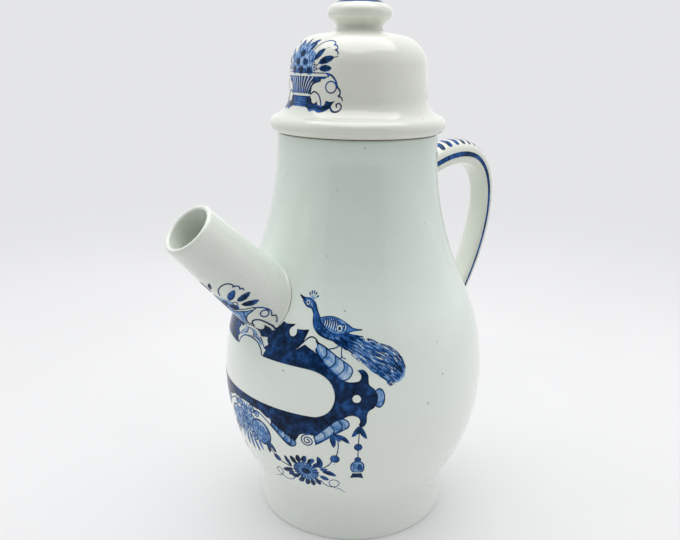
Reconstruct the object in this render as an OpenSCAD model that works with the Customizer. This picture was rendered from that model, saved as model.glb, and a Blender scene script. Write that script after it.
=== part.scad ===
// Wet drug jar of glazed earthenware: a round-bellied jar with a straight
// pouring spout, a strap handle and a loose domed lid with a knob.
// Millimetres, Z up. The origin is the middle of the foot, on the table.
// The spout points to -Y and the handle to +Y.

/* [Jar] */
// Height of the rim above the table
rim_h = 190; // [175:1:210]
// Outer radius of the neck at the rim
neck_r = 37.4; // [33:0.2:42]
// Widest outer radius of the belly
belly_r = 64.5; // [58:0.5:72]
// Height of the belly's widest place
belly_z = 74; // [64:1:84]
// Height where the round of the belly turns into the hollow of the neck
shoulder_z = 116; // [104:1:130]
// Height where the hollow above the foot turns into the round of the belly
waist_z = 28; // [20:1:36]
// Outer radius of the foot
foot_r = 47.5; // [42:0.5:52]
// Height of the straight part of the foot
foot_h = 8.4; // [6:0.2:12]
// Thickness of the wall
wall = 4; // [3:0.2:5]
// Thickness of the bottom
base_t = 5; // [4:0.5:8]
// Width of the ring that the jar stands on
foot_ring_w = 8; // [5:0.5:12]
// Depth of the hollow under the jar
foot_recess = 2.5; // [1:0.5:4]
// Rounding of the foot's outer edge
foot_round = 1.6; // [0.8:0.2:2.4]
// Rounding of the two edges of the rim
rim_round = 1; // [0.5:0.1:1.4]

/* [Spout] */
// Height where the spout's axis leaves the jar
spout_root_z = 119; // [110:1:128]
// Rise of the spout above level, in degrees
spout_angle = 45; // [35:1:55]
// Length of the spout from the jar's wall to its mouth
spout_len = 52; // [40:1:64]
// Radius of the spout's straight bore
spout_bore_r = 10; // [8:0.1:12]
// Thickness of the spout's wall at its mouth
spout_lip_w = 2.3; // [1.8:0.1:3]
// Thickness of the spout's wall at its root
spout_root_w = 5; // [3.5:0.1:6]
// How much wider than the bore the hole pierced in the jar's wall is, all round
spout_hole_ease = 0.5; // [0.2:0.1:2]

/* [Handle] */
// Drop from the rim to the place where the handle's middle line meets the neck
handle_top_drop = 24; // [18:1:32]
// Drop from there to the height where the handle reaches out furthest
handle_out_drop = 18; // [10:1:28]
// Rise from the belly's widest place to the place where the handle's middle line meets the belly
handle_low_rise = 7; // [-2:1:18]
// How far its middle line reaches out beyond the belly
handle_out = 27; // [20:0.2:36]
// Angle at which the handle rises from the neck, in degrees
handle_rise = 28; // [15:1:40]
// Angle at which the handle's lower end runs down into the belly, in degrees
handle_fall = 41; // [25:1:50]
// Width of the strap at the neck
handle_top_w = 17; // [13:0.5:20]
// Width of the strap along its lower half
handle_low_w = 13.5; // [10:0.5:16]
// Thickness of the strap at the neck
handle_top_t = 13; // [10:0.5:15]
// Thickness of the strap along its lower half
handle_low_t = 7.6; // [6:0.2:10]

/* [Lid] */
// How far the lid's rolled flange stands out past the neck
flange_over = 3.4; // [2:0.1:5]
// Radius of the roll of the flange
flange_roll = 3.9; // [3:0.1:4.4]
// Radius of the hollow curve between flange and dome
cove_r = 9; // [6:0.5:11]
// How far the dome's foot stands back from the outside of the neck
dome_back = 5.4; // [4.4:0.1:7]
// How far the dome's side leans in from its foot to its shoulder
dome_lean = 0.8; // [0.2:0.1:2]
// Height of the dome's shoulder centre above the rim
dome_z = 29; // [23:0.5:35]
// Radius of the dome's shoulder
dome_round = 14; // [10:0.5:16]
// Slope of the dome's top, in degrees
dome_slope = 10; // [4:1:14]
// Thickness of the lid's wall
lid_wall = 3.5; // [2.5:0.1:4.5]
// Depth of the ring that keeps the lid in the mouth
locating_h = 10; // [6:0.5:16]
// Thickness of that ring
locating_w = 3.2; // [2.4:0.1:3.6]
// Free room round that ring in the mouth
lid_clearance = 0.6; // [0.4:0.1:1.5]

/* [Knob] */
// Radius of the knob's foot
knob_foot_r = 11; // [9:0.2:13]
// Radius of the knob's waist
knob_waist_r = 10.5; // [8:0.1:10.8]
// Height of the waist above the knob's foot
knob_waist_h = 2.4; // [2:0.2:4]
// Widest radius of the knob
knob_r = 14.7; // [13.5:0.1:18]
// Height of the widest place above the knob's foot
knob_wide_h = 8; // [7:0.2:11]
// Radius of the knob's rounded edge
knob_edge = 3.4; // [2.4:0.1:4]
// Height of the knob
knob_h = 16.6; // [14:0.2:20]

/* [Luting] */
// Reach of the slip that fills the corners of the luted joints
seam = 1.5; // [0.8:0.1:2.2]

/* [Hidden] */
$fn = 96;

// Straight steps that stand for one arc of an outline
arc_steps = 14;
// Steps of a small rounding
round_steps = 6;
// Sides of the strap's section and rings along the strap
strap_sides = 28;
strap_rings = 56;
// Shares of the strap's length between which it slims down
slim_from = 0.14;
slim_to = 0.5;
// Share of the strap's thickness outside its middle line
strap_crown = 0.5;
// Powers that square up the strap's edges and flatten its inner face: 1 is round, less is squarer
strap_edge = 0.8;
strap_flat = 0.6;
// How far the hidden ends of spout and handle reach into the jar before they are trimmed to its wall
root_sink = 5.5;
spout_sink = 26;
// Lengths of the handle curve's four leads, from the neck, above, below and from the belly
handle_leads = [42, 26, 20, 26];
// Part of the strap near each end that the seams follow
seam_share = 0.3;
// Share of its reach that the slip keeps at its thin outer edges
seam_thin_share = 0.4;
seam_thin = seam * seam_thin_share;
// Angles between which the knob's edge is round, in degrees
knob_under = -50;
knob_over = 60;
// Extra length that lets a cutter pass right through
pass = 1;

mouth_r = neck_r - wall;
flange_r = neck_r + flange_over;
dome_foot_r = neck_r - dome_back;
dome_r = dome_foot_r - dome_lean;
spout_root_r = spout_bore_r + spout_root_w;
spout_mouth_r = spout_bore_r + spout_lip_w;
spout_hole_r = spout_bore_r + spout_hole_ease;
handle_top_z = rim_h - handle_top_drop;
handle_out_z = handle_top_z - handle_out_drop;
handle_low_z = belly_z + handle_low_rise;
floor_z = foot_recess + base_t;
glaze = [0.90, 0.93, 0.91];
warm_glaze = [0.95, 0.95, 0.92];
slip = [0.86, 0.87, 0.83];

// Points along an arc, in degrees
function arc(centre, r, from, to, steps = arc_steps) =
    [for (i = [0:steps])
        let (a = from + (to - from) * i / steps)
        centre + r * [cos(a), sin(a)]];

// A smooth step from 0 to 1
function ease(u) = let (v = min(1, max(0, u))) v * v * (3 - 2 * v);

// Two tangent arcs that join two heights with upright ends and turn over at a third height.
// The sum of their radii follows from the ends, and the turning height shares it out.
function radii(p, q, turn) =
    let (sum = pow(norm(q - p), 2) / (2 * abs(q[0] - p[0])), share = (turn - p[1]) / (q[1] - p[1]))
    [share * sum, (1 - share) * sum];

// Foot, belly and neck as the ends of the jar's side
foot_p = [foot_r, foot_h];
belly_p = [belly_r, belly_z];
neck_p = [neck_r, rim_h - rim_round];
low_radii = radii(foot_p, belly_p, waist_z);
top_radii = radii(belly_p, neck_p, shoulder_z);
foot_c = foot_p + [low_radii[0], 0];
low_c = belly_p - [low_radii[1], 0];
top_c = belly_p - [top_radii[0], 0];
neck_c = neck_p + [top_radii[1], 0];
low_turn = atan2(low_c[1] - foot_c[1], low_c[0] - foot_c[0]);
top_turn = atan2(neck_c[1] - top_c[1], neck_c[0] - top_c[0]);

// The jar's side from the foot to the neck, moved inwards by d
function side(d) = concat(
    arc(foot_c, low_radii[0] + d, 180, low_turn),
    arc(low_c, low_radii[1] - d, low_turn - 180, 0),
    arc(top_c, top_radii[0] - d, 0, top_turn),
    arc(neck_c, top_radii[1] + d, top_turn + 180, 180));

// The jar's outer radius at a height
function jar_r(z) =
    z < foot_h ? foot_r :
    z < waist_z ? foot_c[0] - sqrt(pow(low_radii[0], 2) - pow(z - foot_c[1], 2)) :
    z < belly_z ? low_c[0] + sqrt(pow(low_radii[1], 2) - pow(z - low_c[1], 2)) :
    z < shoulder_z ? top_c[0] + sqrt(pow(top_radii[0], 2) - pow(z - top_c[1], 2)) :
    z < neck_p[1] ? neck_c[0] - sqrt(pow(top_radii[1], 2) - pow(z - neck_c[1], 2)) :
    neck_r;

// The whole outside of the jar, grown by d, as a solid that neighbours are trimmed with
module jar_outside(d = 0) {
    rotate_extrude()
        polygon(concat([[0, 0], [foot_r + d, 0]], side(-d), [[neck_r + d, rim_h], [0, rim_h]]));
}

// The jar's cut face, without the hole for the spout
module jar_section() {
    recess_r = foot_r - foot_ring_w;
    edge = [foot_r - foot_round, foot_round];
    lip_out = [neck_r - rim_round, rim_h - rim_round];
    lip_in = [mouth_r + rim_round, rim_h - rim_round];
    difference() {
        polygon(concat(
            [[0, foot_recess], [recess_r - foot_recess, foot_recess], [recess_r, 0]],
            arc(edge, foot_round, -90, 0, round_steps),
            side(0),
            arc(lip_out, rim_round, 0, 90, round_steps),
            [[0, rim_h]]));
        intersection() {
            polygon(concat(
                [[0, 0], [foot_r - wall, 0]],
                side(wall),
                arc(lip_in, rim_round, 180, 90, round_steps),
                [[mouth_r + rim_round, rim_h + pass], [0, rim_h + pass]]));
            translate([0, floor_z])
                square([belly_r, rim_h]);
        }
    }
}

// Moves what follows to the place where the spout's axis leaves the jar, with Z along that axis
module at_spout() {
    translate([0, -jar_r(spout_root_z), spout_root_z])
        rotate([90 - spout_angle, 0, 0])
            children();
}

// Outer radius of the spout at a distance along its axis
function spout_r(t) = spout_root_r + (spout_mouth_r - spout_root_r) * t / spout_len;

// The spout's full outer cone, grown by d
module spout_cone(d = 0) {
    at_spout()
        translate([0, 0, -spout_sink])
            cylinder(h = spout_sink + spout_len, r1 = spout_r(-spout_sink) + d, r2 = spout_mouth_r + d);
}

// Handle curve in the plane of spout and handle: two Bezier arcs that meet where it reaches out furthest
handle_top = [jar_r(handle_top_z) - root_sink, handle_top_z];
handle_far = [belly_r + handle_out, handle_out_z];
handle_low = [jar_r(handle_low_z) - root_sink, handle_low_z];
handle_upper = [handle_top, handle_top + handle_leads[0] * [cos(handle_rise), sin(handle_rise)],
                handle_far + [0, handle_leads[1]], handle_far];
handle_lower = [handle_far, handle_far - [0, handle_leads[2]],
                handle_low + handle_leads[3] * [cos(handle_fall), sin(handle_fall)], handle_low];

function bezier(p, t) =
    pow(1 - t, 3) * p[0] + 3 * pow(1 - t, 2) * t * p[1] + 3 * (1 - t) * t * t * p[2] + pow(t, 3) * p[3];
function bezier_way(p, t) =
    let (d = pow(1 - t, 2) * (p[1] - p[0]) + 2 * (1 - t) * t * (p[2] - p[1]) + t * t * (p[3] - p[2]))
    d / norm(d);
function strap_at(s) = s < 0.5 ? bezier(handle_upper, 2 * s) : bezier(handle_lower, 2 * s - 1);
function strap_way(s) = s < 0.5 ? bezier_way(handle_upper, 2 * s) : bezier_way(handle_lower, 2 * s - 1);

// The strap is thick at the neck and slims down by the place where it reaches out furthest
function slim(s) = ease((s - slim_from) / (slim_to - slim_from));
function strap_w(s) = handle_top_w + (handle_low_w - handle_top_w) * slim(s);
function strap_t(s) = handle_top_t + (handle_low_t - handle_top_t) * slim(s);

// One section of the strap: rounded outside and nearly flat inside, grown by d
function strap_ring(s, d) =
    let (p = strap_at(s), way = strap_way(s), out = [-way[1], way[0]],
         w = strap_w(s) + 2 * d, t = strap_t(s) + 2 * d)
    [for (k = [0:strap_sides - 1])
        let (a = 360 * k / strap_sides, c = cos(a), n = sin(a),
             x = w / 2 * sign(c) * pow(abs(c), strap_edge),
             v = n > 0 ? strap_crown * t * n : (strap_crown - 1) * t * pow(-n, strap_flat))
        [x, p[0] + out[0] * v, p[1] + out[1] * v]];

// The strap between two shares of its length, grown by d
module strap(from = 0, to = 1, rings = strap_rings, d = 0) {
    points = [for (i = [0:rings]) each strap_ring(from + (to - from) * i / rings, d)];
    n = strap_sides;
    last = rings * n;
    sides = [for (i = [0:rings - 1], k = [0:n - 1])
        let (a = i * n + k, b = i * n + (k + 1) % n)
        each [[a, b, a + n], [b, b + n, a + n]]];
    caps = [for (k = [1:n - 2]) each [[0, k + 1, k], [last, last + k, last + k + 1]]];
    polyhedron(points, concat(sides, caps), convexity = 6);
}

// The slip in the corner between the jar and one end of the strap
module strap_seam(from, to) {
    rings = ceil(strap_rings * seam_share);
    difference() {
        union() {
            intersection() {
                jar_outside(seam);
                strap(from, to, rings, seam_thin);
            }
            intersection() {
                jar_outside(seam_thin);
                strap(from, to, rings, seam);
            }
        }
        jar_outside();
        strap();
    }
}

module jar_body() {
    color(glaze)
        difference() {
            rotate_extrude()
                jar_section();
            at_spout()
                cylinder(h = 2 * spout_sink, r = spout_hole_r, center = true);
        }
}

module spout() {
    lip = (spout_mouth_r - spout_bore_r) / 2;
    lip_c = [spout_bore_r + lip, spout_len - lip];
    color(warm_glaze)
        difference() {
            at_spout()
                rotate_extrude()
                    polygon(concat(
                        [[spout_bore_r, -spout_sink], [spout_r(-spout_sink), -spout_sink]],
                        arc(lip_c, lip, 0, 180, 2 * round_steps)));
            jar_outside();
        }
}

module spout_seam() {
    color(slip)
        difference() {
            union() {
                intersection() {
                    jar_outside(seam);
                    spout_cone(seam_thin);
                }
                intersection() {
                    jar_outside(seam_thin);
                    spout_cone(seam);
                }
            }
            jar_outside();
            spout_cone();
        }
}

module handle() {
    color(warm_glaze)
        difference() {
            strap();
            jar_outside();
        }
}

module handle_top_seam() {
    color(slip)
        strap_seam(0, seam_share);
}

module handle_low_seam() {
    color(slip)
        strap_seam(1 - seam_share, 1);
}

// Centre of the flange's roll, of the hollow above it and of the dome's shoulder
roll_c = [flange_r - flange_roll, rim_h + flange_roll];
cove_x = dome_foot_r + cove_r;
cove_c = [cove_x, roll_c[1] + sqrt(pow(flange_roll + cove_r, 2) - pow(cove_x - roll_c[0], 2))];
cove_turn = atan2(cove_c[1] - roll_c[1], cove_c[0] - roll_c[0]);
shoulder_c = [dome_r - dome_round, rim_h + dome_z];

// Height of the dome's top face at a radius inside its shoulder, moved inwards by d
function dome_top(r, d = 0) =
    shoulder_c[1] + (dome_round - d) / cos(dome_slope) + (shoulder_c[0] - r) * tan(dome_slope);

// The dome's shoulder and sloping top up to a radius, moved inwards by d
function dome(d, r) = concat(
    arc(shoulder_c, dome_round - d, 0, 90 - dome_slope),
    [[r, dome_top(r, d)]]);

lid_top_z = dome_top(knob_foot_r);

module lid_cover() {
    inside_r = dome_r - lid_wall;
    color(warm_glaze)
        rotate_extrude()
            difference() {
                polygon(concat(
                    [[0, rim_h]],
                    arc(roll_c, flange_roll, -90, cove_turn),
                    arc(cove_c, cove_r, cove_turn + 180, 180),
                    dome(0, knob_foot_r),
                    [[0, lid_top_z]]));
                polygon(concat(
                    [[0, rim_h - pass], [inside_r, rim_h - pass]],
                    dome(lid_wall, knob_foot_r),
                    [[0, dome_top(knob_foot_r, lid_wall)]]));
            }
}

module lid_locating_ring() {
    ring_r = mouth_r - lid_clearance;
    color(warm_glaze)
        translate([0, 0, rim_h - locating_h])
            difference() {
                cylinder(h = locating_h, r = ring_r);
                translate([0, 0, -pass])
                    cylinder(h = locating_h + 2 * pass, r = ring_r - locating_w);
            }
}

// The knob's outline above its foot: a waist, a rounded edge and a low domed top that follows on from it
module knob_section() {
    edge_c = [knob_r - knob_edge, knob_wide_h];
    shoulder = edge_c + knob_edge * [cos(knob_over), sin(knob_over)];
    crown = [max(0, shoulder[0] - (knob_h - shoulder[1]) * tan(knob_over)), knob_h];
    polygon(concat(
        [[0, 0], [knob_foot_r, 0], [knob_waist_r, knob_waist_h]],
        arc(edge_c, knob_edge, knob_under, knob_over, round_steps),
        [for (i = [1:arc_steps])
            let (t = i / arc_steps)
            pow(1 - t, 2) * shoulder + 2 * t * (1 - t) * crown + t * t * [0, knob_h]]));
}

module lid_knob() {
    color(warm_glaze)
        translate([0, 0, lid_top_z])
            rotate_extrude()
                knob_section();
}

// A hollow ring of slip on the dome's slope, round the knob's foot, with blunt edges
module knob_seam() {
    out = knob_foot_r + seam;
    in = knob_foot_r + (knob_waist_r - knob_foot_r) * seam / knob_waist_h;
    low = [in + seam_thin, dome_top(out) + seam_thin];
    reach = [out, lid_top_z + seam] - low;
    color(slip)
        rotate_extrude()
            polygon(concat(
                [[knob_foot_r, lid_top_z], [out, dome_top(out)]],
                [for (i = [0:round_steps])
                    let (a = 90 * i / round_steps)
                    low + [reach[0] * (1 - sin(a)), reach[1] * (1 - cos(a))]],
                [[in, lid_top_z + seam]]));
}

jar_body();
spout();
spout_seam();
handle();
handle_top_seam();
handle_low_seam();
lid_cover();
lid_locating_ring();
lid_knob();
knob_seam();
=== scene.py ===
"""Looks of a wet drug jar: glazed earthenware with cobalt painting. Sizes below are millimetres."""

import math

import bmesh
import bpy
import numpy as np
from mathutils import Matrix, Vector


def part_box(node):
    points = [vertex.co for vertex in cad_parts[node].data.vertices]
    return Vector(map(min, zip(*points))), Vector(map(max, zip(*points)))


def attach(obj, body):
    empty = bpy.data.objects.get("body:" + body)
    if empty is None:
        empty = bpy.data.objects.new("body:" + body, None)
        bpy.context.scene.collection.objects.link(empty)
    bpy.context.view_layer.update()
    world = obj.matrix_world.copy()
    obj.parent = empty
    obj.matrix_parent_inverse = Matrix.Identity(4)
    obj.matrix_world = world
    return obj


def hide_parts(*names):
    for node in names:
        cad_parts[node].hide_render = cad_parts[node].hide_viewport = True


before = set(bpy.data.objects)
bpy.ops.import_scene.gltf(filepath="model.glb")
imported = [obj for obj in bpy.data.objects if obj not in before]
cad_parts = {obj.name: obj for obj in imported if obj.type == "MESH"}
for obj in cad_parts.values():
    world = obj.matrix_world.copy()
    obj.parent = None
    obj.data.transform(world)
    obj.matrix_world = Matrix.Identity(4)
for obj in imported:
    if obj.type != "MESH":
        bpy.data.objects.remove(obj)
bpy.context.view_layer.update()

MM = 0.001

# Driving sizes of the jar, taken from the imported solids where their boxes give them
_, jar_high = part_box("jar_body")
_, lid_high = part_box("lid_cover")
knob_low, knob_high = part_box("lid_knob")
ring_low, ring_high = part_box("lid_locating_ring")
RIM_H = jar_high.z / MM
BELLY_R = jar_high.x / MM
FLANGE_R = lid_high.x / MM
LID_TOP = knob_low.z / MM
KNOB_R = knob_high.x / MM
KNOB_H = (knob_high.z - knob_low.z) / MM
RING_R = ring_high.x / MM
RING_LOW = ring_low.z / MM

NECK_R = 37.4
BELLY_Z = 74
SHOULDER_Z = 116
WAIST_Z = 28
FOOT_R = 47.5
FOOT_H = 8.4
WALL = 4
FLOOR_Z = 7.5
FLOOR_ROUND = 9
FOOT_RING_W = 8
FOOT_RECESS = 2.5
FOOT_ROUND = 1.6
RIM_ROUND = 1

SPOUT_ROOT_Z = 119
SPOUT_ANGLE = math.radians(45)
SPOUT_LEN = 52
SPOUT_BORE_R = 10
SPOUT_MOUTH_R = 12.3
SPOUT_ROOT_R = 15
SPOUT_HOLE_R = 10.5
# Flare of the spout's root, on top and underneath
SPOUT_FLARE = (1.1, 2.2)
# How far the hole for it is drilled to each side of the root
DRILL_REACH = 24

HANDLE_TOP_Z = RIM_H - 24
HANDLE_LOW_Z = BELLY_Z + 7
HANDLE_OUT_Z = HANDLE_TOP_Z - 18
HANDLE_OUT = 27
HANDLE_RISE = math.radians(28)
HANDLE_FALL = math.radians(41)
# Lengths of the leads that bend the handle, from its top end to its low end
HANDLE_LEADS = (42, 26, 20, 26)
HANDLE_SINK = 5.5
# Width and thickness of the strap, and the shares of its length between which it slims
STRAP_TOP = (17, 13)
STRAP_LOW = (13.5, 7.6)
STRAP_SLIM = (0.14, 0.5)
# Powers that round the strap's edges and flatten its inner side
STRAP_EDGE = 0.8
STRAP_FLAT = 0.6
STRAP_FLARE = 3

LID_WALL = 3.5
# Rows of points inside the lid, by their heights above the rim, on its ring and on its seat
HOLLOW_ROWS = (22, 16, 10, 5, 2)
RING_ROW_Z = RIM_H - 5
SEAT_ROW_R = 35
RING_W = 3.2
FLANGE_ROLL = 3.9
COVE_R = 9
DOME_FOOT_R = 32
DOME_R = 31.2
DOME_Z = RIM_H + 29
DOME_ROUND = 14
DOME_SLOPE = math.radians(10)
KNOB_FOOT_R = 11
KNOB_WAIST_R = 10.5
KNOB_WAIST_H = 2.4
KNOB_WIDE_H = 8
KNOB_EDGE = 3.4
KNOB_SEAM = 2.6
KNOB_UNDER = math.radians(-50)
KNOB_OVER = math.radians(60)

# How deep the hidden ends of spout and handle reach into the jar's wall
ROOT_DEPTH = 1.5
BORE_DEPTH = 3.6


# Surfaces

def arc_radii(low, high, turn):
    """Radii of two tangent arcs that join two points with upright ends and turn over at a height."""
    total = ((high[0] - low[0]) ** 2 + (high[1] - low[1]) ** 2) / (2 * abs(high[0] - low[0]))
    share = (turn - low[1]) / (high[1] - low[1])
    return share * total, (1 - share) * total


FOOT_ARC, LOW_ARC = arc_radii((FOOT_R, FOOT_H), (BELLY_R, BELLY_Z), WAIST_Z)
TOP_ARC, NECK_ARC = arc_radii((BELLY_R, BELLY_Z), (NECK_R, RIM_H - RIM_ROUND), SHOULDER_Z)


def bow(radius, height):
    """Half the width of a circle at a height above or below its middle."""
    return np.sqrt(np.maximum(0, radius ** 2 - height ** 2))


def unit(v):
    return v / np.linalg.norm(v, axis=-1, keepdims=True)


def turned(theta, r, z):
    """Points round the jar's axis. Angle 0 is the spout's side, and it grows towards +X."""
    return np.stack([r * np.sin(theta), -r * np.cos(theta), z + 0 * r], -1)


def run_along(line):
    """How far along a line of points each of them lies."""
    return np.concatenate([[0], np.cumsum(np.hypot(*np.diff(line, axis=0).T))])


def jar_r(z):
    """Outer radius of the jar at heights z."""
    z = np.asarray(z, float)
    neck_z = RIM_H - RIM_ROUND
    return np.select(
        [z < FOOT_H, z < WAIST_Z, z < BELLY_Z, z < SHOULDER_Z, z < neck_z],
        [
            FOOT_R + 0 * z,
            FOOT_R + FOOT_ARC - bow(FOOT_ARC, z - FOOT_H),
            BELLY_R - LOW_ARC + bow(LOW_ARC, z - BELLY_Z),
            BELLY_R - TOP_ARC + bow(TOP_ARC, z - BELLY_Z),
            NECK_R + NECK_ARC - bow(NECK_ARC, z - neck_z),
        ],
        NECK_R,
    )


def jar_slope(z):
    step = 0.05
    return (jar_r(z + step) - jar_r(z - step)) / (2 * step)


def hand(theta, z):
    """Slight unevenness of hand throwing, which dies out at the foot and the rim."""
    fade = np.clip((z - FOOT_H) / 20, 0, 1) * np.clip((RIM_H - 8 - z) / 30, 0, 1)
    slow = 0.10 * np.sin(2 * theta + 0.7) + 0.06 * np.sin(3 * theta + z / 31)
    rings = 0.022 * np.sin(z * 0.9 + 0.5 * np.sin(theta)) + 0.012 * np.sin(z * 2.3 + theta)
    return fade * (slow + rings)


def jar_point(theta, z):
    return turned(theta, jar_r(z) + hand(theta, z), z)


def jar_gap(p):
    """How far points lie outside the jar's wall."""
    r = np.hypot(p[..., 0], p[..., 1])
    theta = np.arctan2(p[..., 0], -p[..., 1])
    z = p[..., 2]
    return (r - jar_r(z) - hand(theta, z)) / np.sqrt(1 + jar_slope(z) ** 2)


def flared(p, outward, reach):
    """Points of a luted limb, spread outwards where it runs into the jar."""
    near = reach - np.clip(jar_gap(p), 0, reach)
    spread = reach - bow(reach, near)
    return p + outward * spread[..., None]


def reach_depth(point, start, stop, depth):
    """Places along lines, between start and stop, where point(place) lies that deep in the jar's wall."""
    inside, outside = start.copy(), stop.copy()
    for _ in range(40):
        middle = (inside + outside) / 2
        deep = jar_gap(point(middle)) < -depth
        inside = np.where(deep, middle, inside)
        outside = np.where(deep, outside, middle)
    return (inside + outside) / 2


SPOUT_AXIS = np.array([0, -math.cos(SPOUT_ANGLE), math.sin(SPOUT_ANGLE)])
SPOUT_UNDER = np.array([0, -math.sin(SPOUT_ANGLE), -math.cos(SPOUT_ANGLE)])
SPOUT_SIDE = np.array([1.0, 0, 0])
SPOUT_ROOT = np.array([0, -float(jar_r(SPOUT_ROOT_Z)), SPOUT_ROOT_Z])


def spout_way(phi):
    """Direction out from the spout's axis. Angle 0 is underneath, and it grows towards +X."""
    phi = np.asarray(phi)[..., None]
    return SPOUT_UNDER * np.cos(phi) + SPOUT_SIDE * np.sin(phi)


def spout_line(phi, t, r):
    """Points at an angle, a distance along the spout's axis and a radius."""
    return SPOUT_ROOT + SPOUT_AXIS * np.asarray(t)[..., None] + spout_way(phi) * np.asarray(r)[..., None]


def spout_r(t):
    return SPOUT_ROOT_R + (SPOUT_MOUTH_R - SPOUT_ROOT_R) * t / SPOUT_LEN


def spout_point(phi, t):
    """Point of the spout's outside at an angle and a distance along the axis. The flare is least on top."""
    under = 0.5 + 0.5 * np.cos(phi)
    reach = SPOUT_FLARE[0] + (SPOUT_FLARE[1] - SPOUT_FLARE[0]) * under
    return flared(spout_line(phi, t, spout_r(t)), spout_way(phi), reach)


def ease(u):
    """A smooth step from 0 to 1."""
    u = np.clip(u, 0, 1)
    return u * u * (3 - 2 * u)


def bezier(p, t):
    t = np.asarray(t)[..., None]
    a, b, c, d = (np.array(q, float) for q in p)
    return (1 - t) ** 3 * a + 3 * (1 - t) ** 2 * t * b + 3 * (1 - t) * t * t * c + t ** 3 * d


def quadratic(a, b, c, t):
    """Points of a curve from a to c that leaves and arrives along its lines to b."""
    return (1 - t) ** 2 * a + 2 * t * (1 - t) * b + t * t * c


def lead(point, length, angle):
    """The point at a length and an angle from another one."""
    return (point[0] + length * math.cos(angle), point[1] + length * math.sin(angle))


HANDLE_TOP = (float(jar_r(HANDLE_TOP_Z)) - HANDLE_SINK, HANDLE_TOP_Z)
HANDLE_FAR = (BELLY_R + HANDLE_OUT, HANDLE_OUT_Z)
HANDLE_LOW = (float(jar_r(HANDLE_LOW_Z)) - HANDLE_SINK, HANDLE_LOW_Z)
HANDLE_UPPER = (
    HANDLE_TOP,
    lead(HANDLE_TOP, HANDLE_LEADS[0], HANDLE_RISE),
    lead(HANDLE_FAR, HANDLE_LEADS[1], math.pi / 2),
    HANDLE_FAR,
)
HANDLE_LOWER = (
    HANDLE_FAR,
    lead(HANDLE_FAR, -HANDLE_LEADS[2], math.pi / 2),
    lead(HANDLE_LOW, HANDLE_LEADS[3], HANDLE_FALL),
    HANDLE_LOW,
)


def strap_at(s):
    """Middle of the strap, outwards and up, at a share of its length."""
    upper = bezier(HANDLE_UPPER, 2 * s)
    lower = bezier(HANDLE_LOWER, 2 * s - 1)
    return np.where(np.asarray(s)[..., None] < 0.5, upper, lower)


def strap_section(a, w, t):
    """Offsets of the strap's edge across and outwards. Angle 0 is the crown, and it grows towards +X."""
    across = np.sin(a)
    out = np.cos(a)
    x = w / 2 * np.sign(across) * np.abs(across) ** STRAP_EDGE
    v = np.where(out > 0, 0.5 * t * out, -0.5 * t * np.abs(out) ** STRAP_FLAT)
    return x, v


# Angles round the strap's section at even steps of its edge, on a section of middling width
SECTION_TURN = np.linspace(0, 2 * math.pi, 1441)
SECTION_EDGE = np.stack(strap_section(SECTION_TURN, 14, 10), -1)
SECTION_RUN = run_along(SECTION_EDGE)


def strap_turn(edge):
    """Angle round the section at a distance from the crown along its edge."""
    return np.interp(np.mod(edge, SECTION_RUN[-1]), SECTION_RUN, SECTION_TURN)


def strap_point(edge, s, flare=STRAP_FLARE):
    """Point of the handle at a distance from the crown round its section, and a share of its length."""
    s = np.asarray(s, float)
    step = 1e-3
    middle = strap_at(s)
    way = unit(strap_at(np.minimum(s + step, 1)) - strap_at(np.maximum(s - step, 0)))
    slim = ease((s - STRAP_SLIM[0]) / (STRAP_SLIM[1] - STRAP_SLIM[0]))
    w = STRAP_TOP[0] + (STRAP_LOW[0] - STRAP_TOP[0]) * slim
    t = STRAP_TOP[1] + (STRAP_LOW[1] - STRAP_TOP[1]) * slim
    x, v = strap_section(strap_turn(edge), w, t)
    offset = np.stack([x, -way[..., 1] * v, way[..., 0] * v], -1)
    p = np.stack([0 * x, middle[..., 0], middle[..., 1]], -1) + offset
    return flared(p, unit(offset), flare) if flare else p


ROLL_C = (FLANGE_R - FLANGE_ROLL, RIM_H + FLANGE_ROLL)
COVE_X = DOME_FOOT_R + COVE_R
COVE_C = (COVE_X, ROLL_C[1] + math.sqrt((FLANGE_ROLL + COVE_R) ** 2 - (COVE_X - ROLL_C[0]) ** 2))
DOME_C = (DOME_R - DOME_ROUND, DOME_Z)
KNOB_EDGE_C = (KNOB_R - KNOB_EDGE, LID_TOP + KNOB_WIDE_H)
KNOB_SHOULDER = lead(KNOB_EDGE_C, KNOB_EDGE, KNOB_OVER)


def dome_top(r, inward=0):
    """Height of the dome's sloping top at a radius, or of a skin that far inside it."""
    return DOME_C[1] + (DOME_ROUND - inward) / math.cos(DOME_SLOPE) + (DOME_C[0] - r) * math.tan(DOME_SLOPE)


def lid_r(z):
    """Outer radius of the lid's cove, side and shoulder at heights z."""
    side = DOME_FOOT_R + (DOME_R - DOME_FOOT_R) * (z - COVE_C[1]) / (DOME_C[1] - COVE_C[1])
    cove = COVE_C[0] - bow(COVE_R, z - COVE_C[1])
    shoulder = DOME_C[0] + bow(DOME_ROUND, z - DOME_C[1])
    return np.select([z < COVE_C[1], z < DOME_C[1]], [cove, side], shoulder)


def lid_point(theta, z):
    return turned(theta, lid_r(z), z)


# Mesh making

SMOOTH_ANGLE = math.radians(40)


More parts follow.
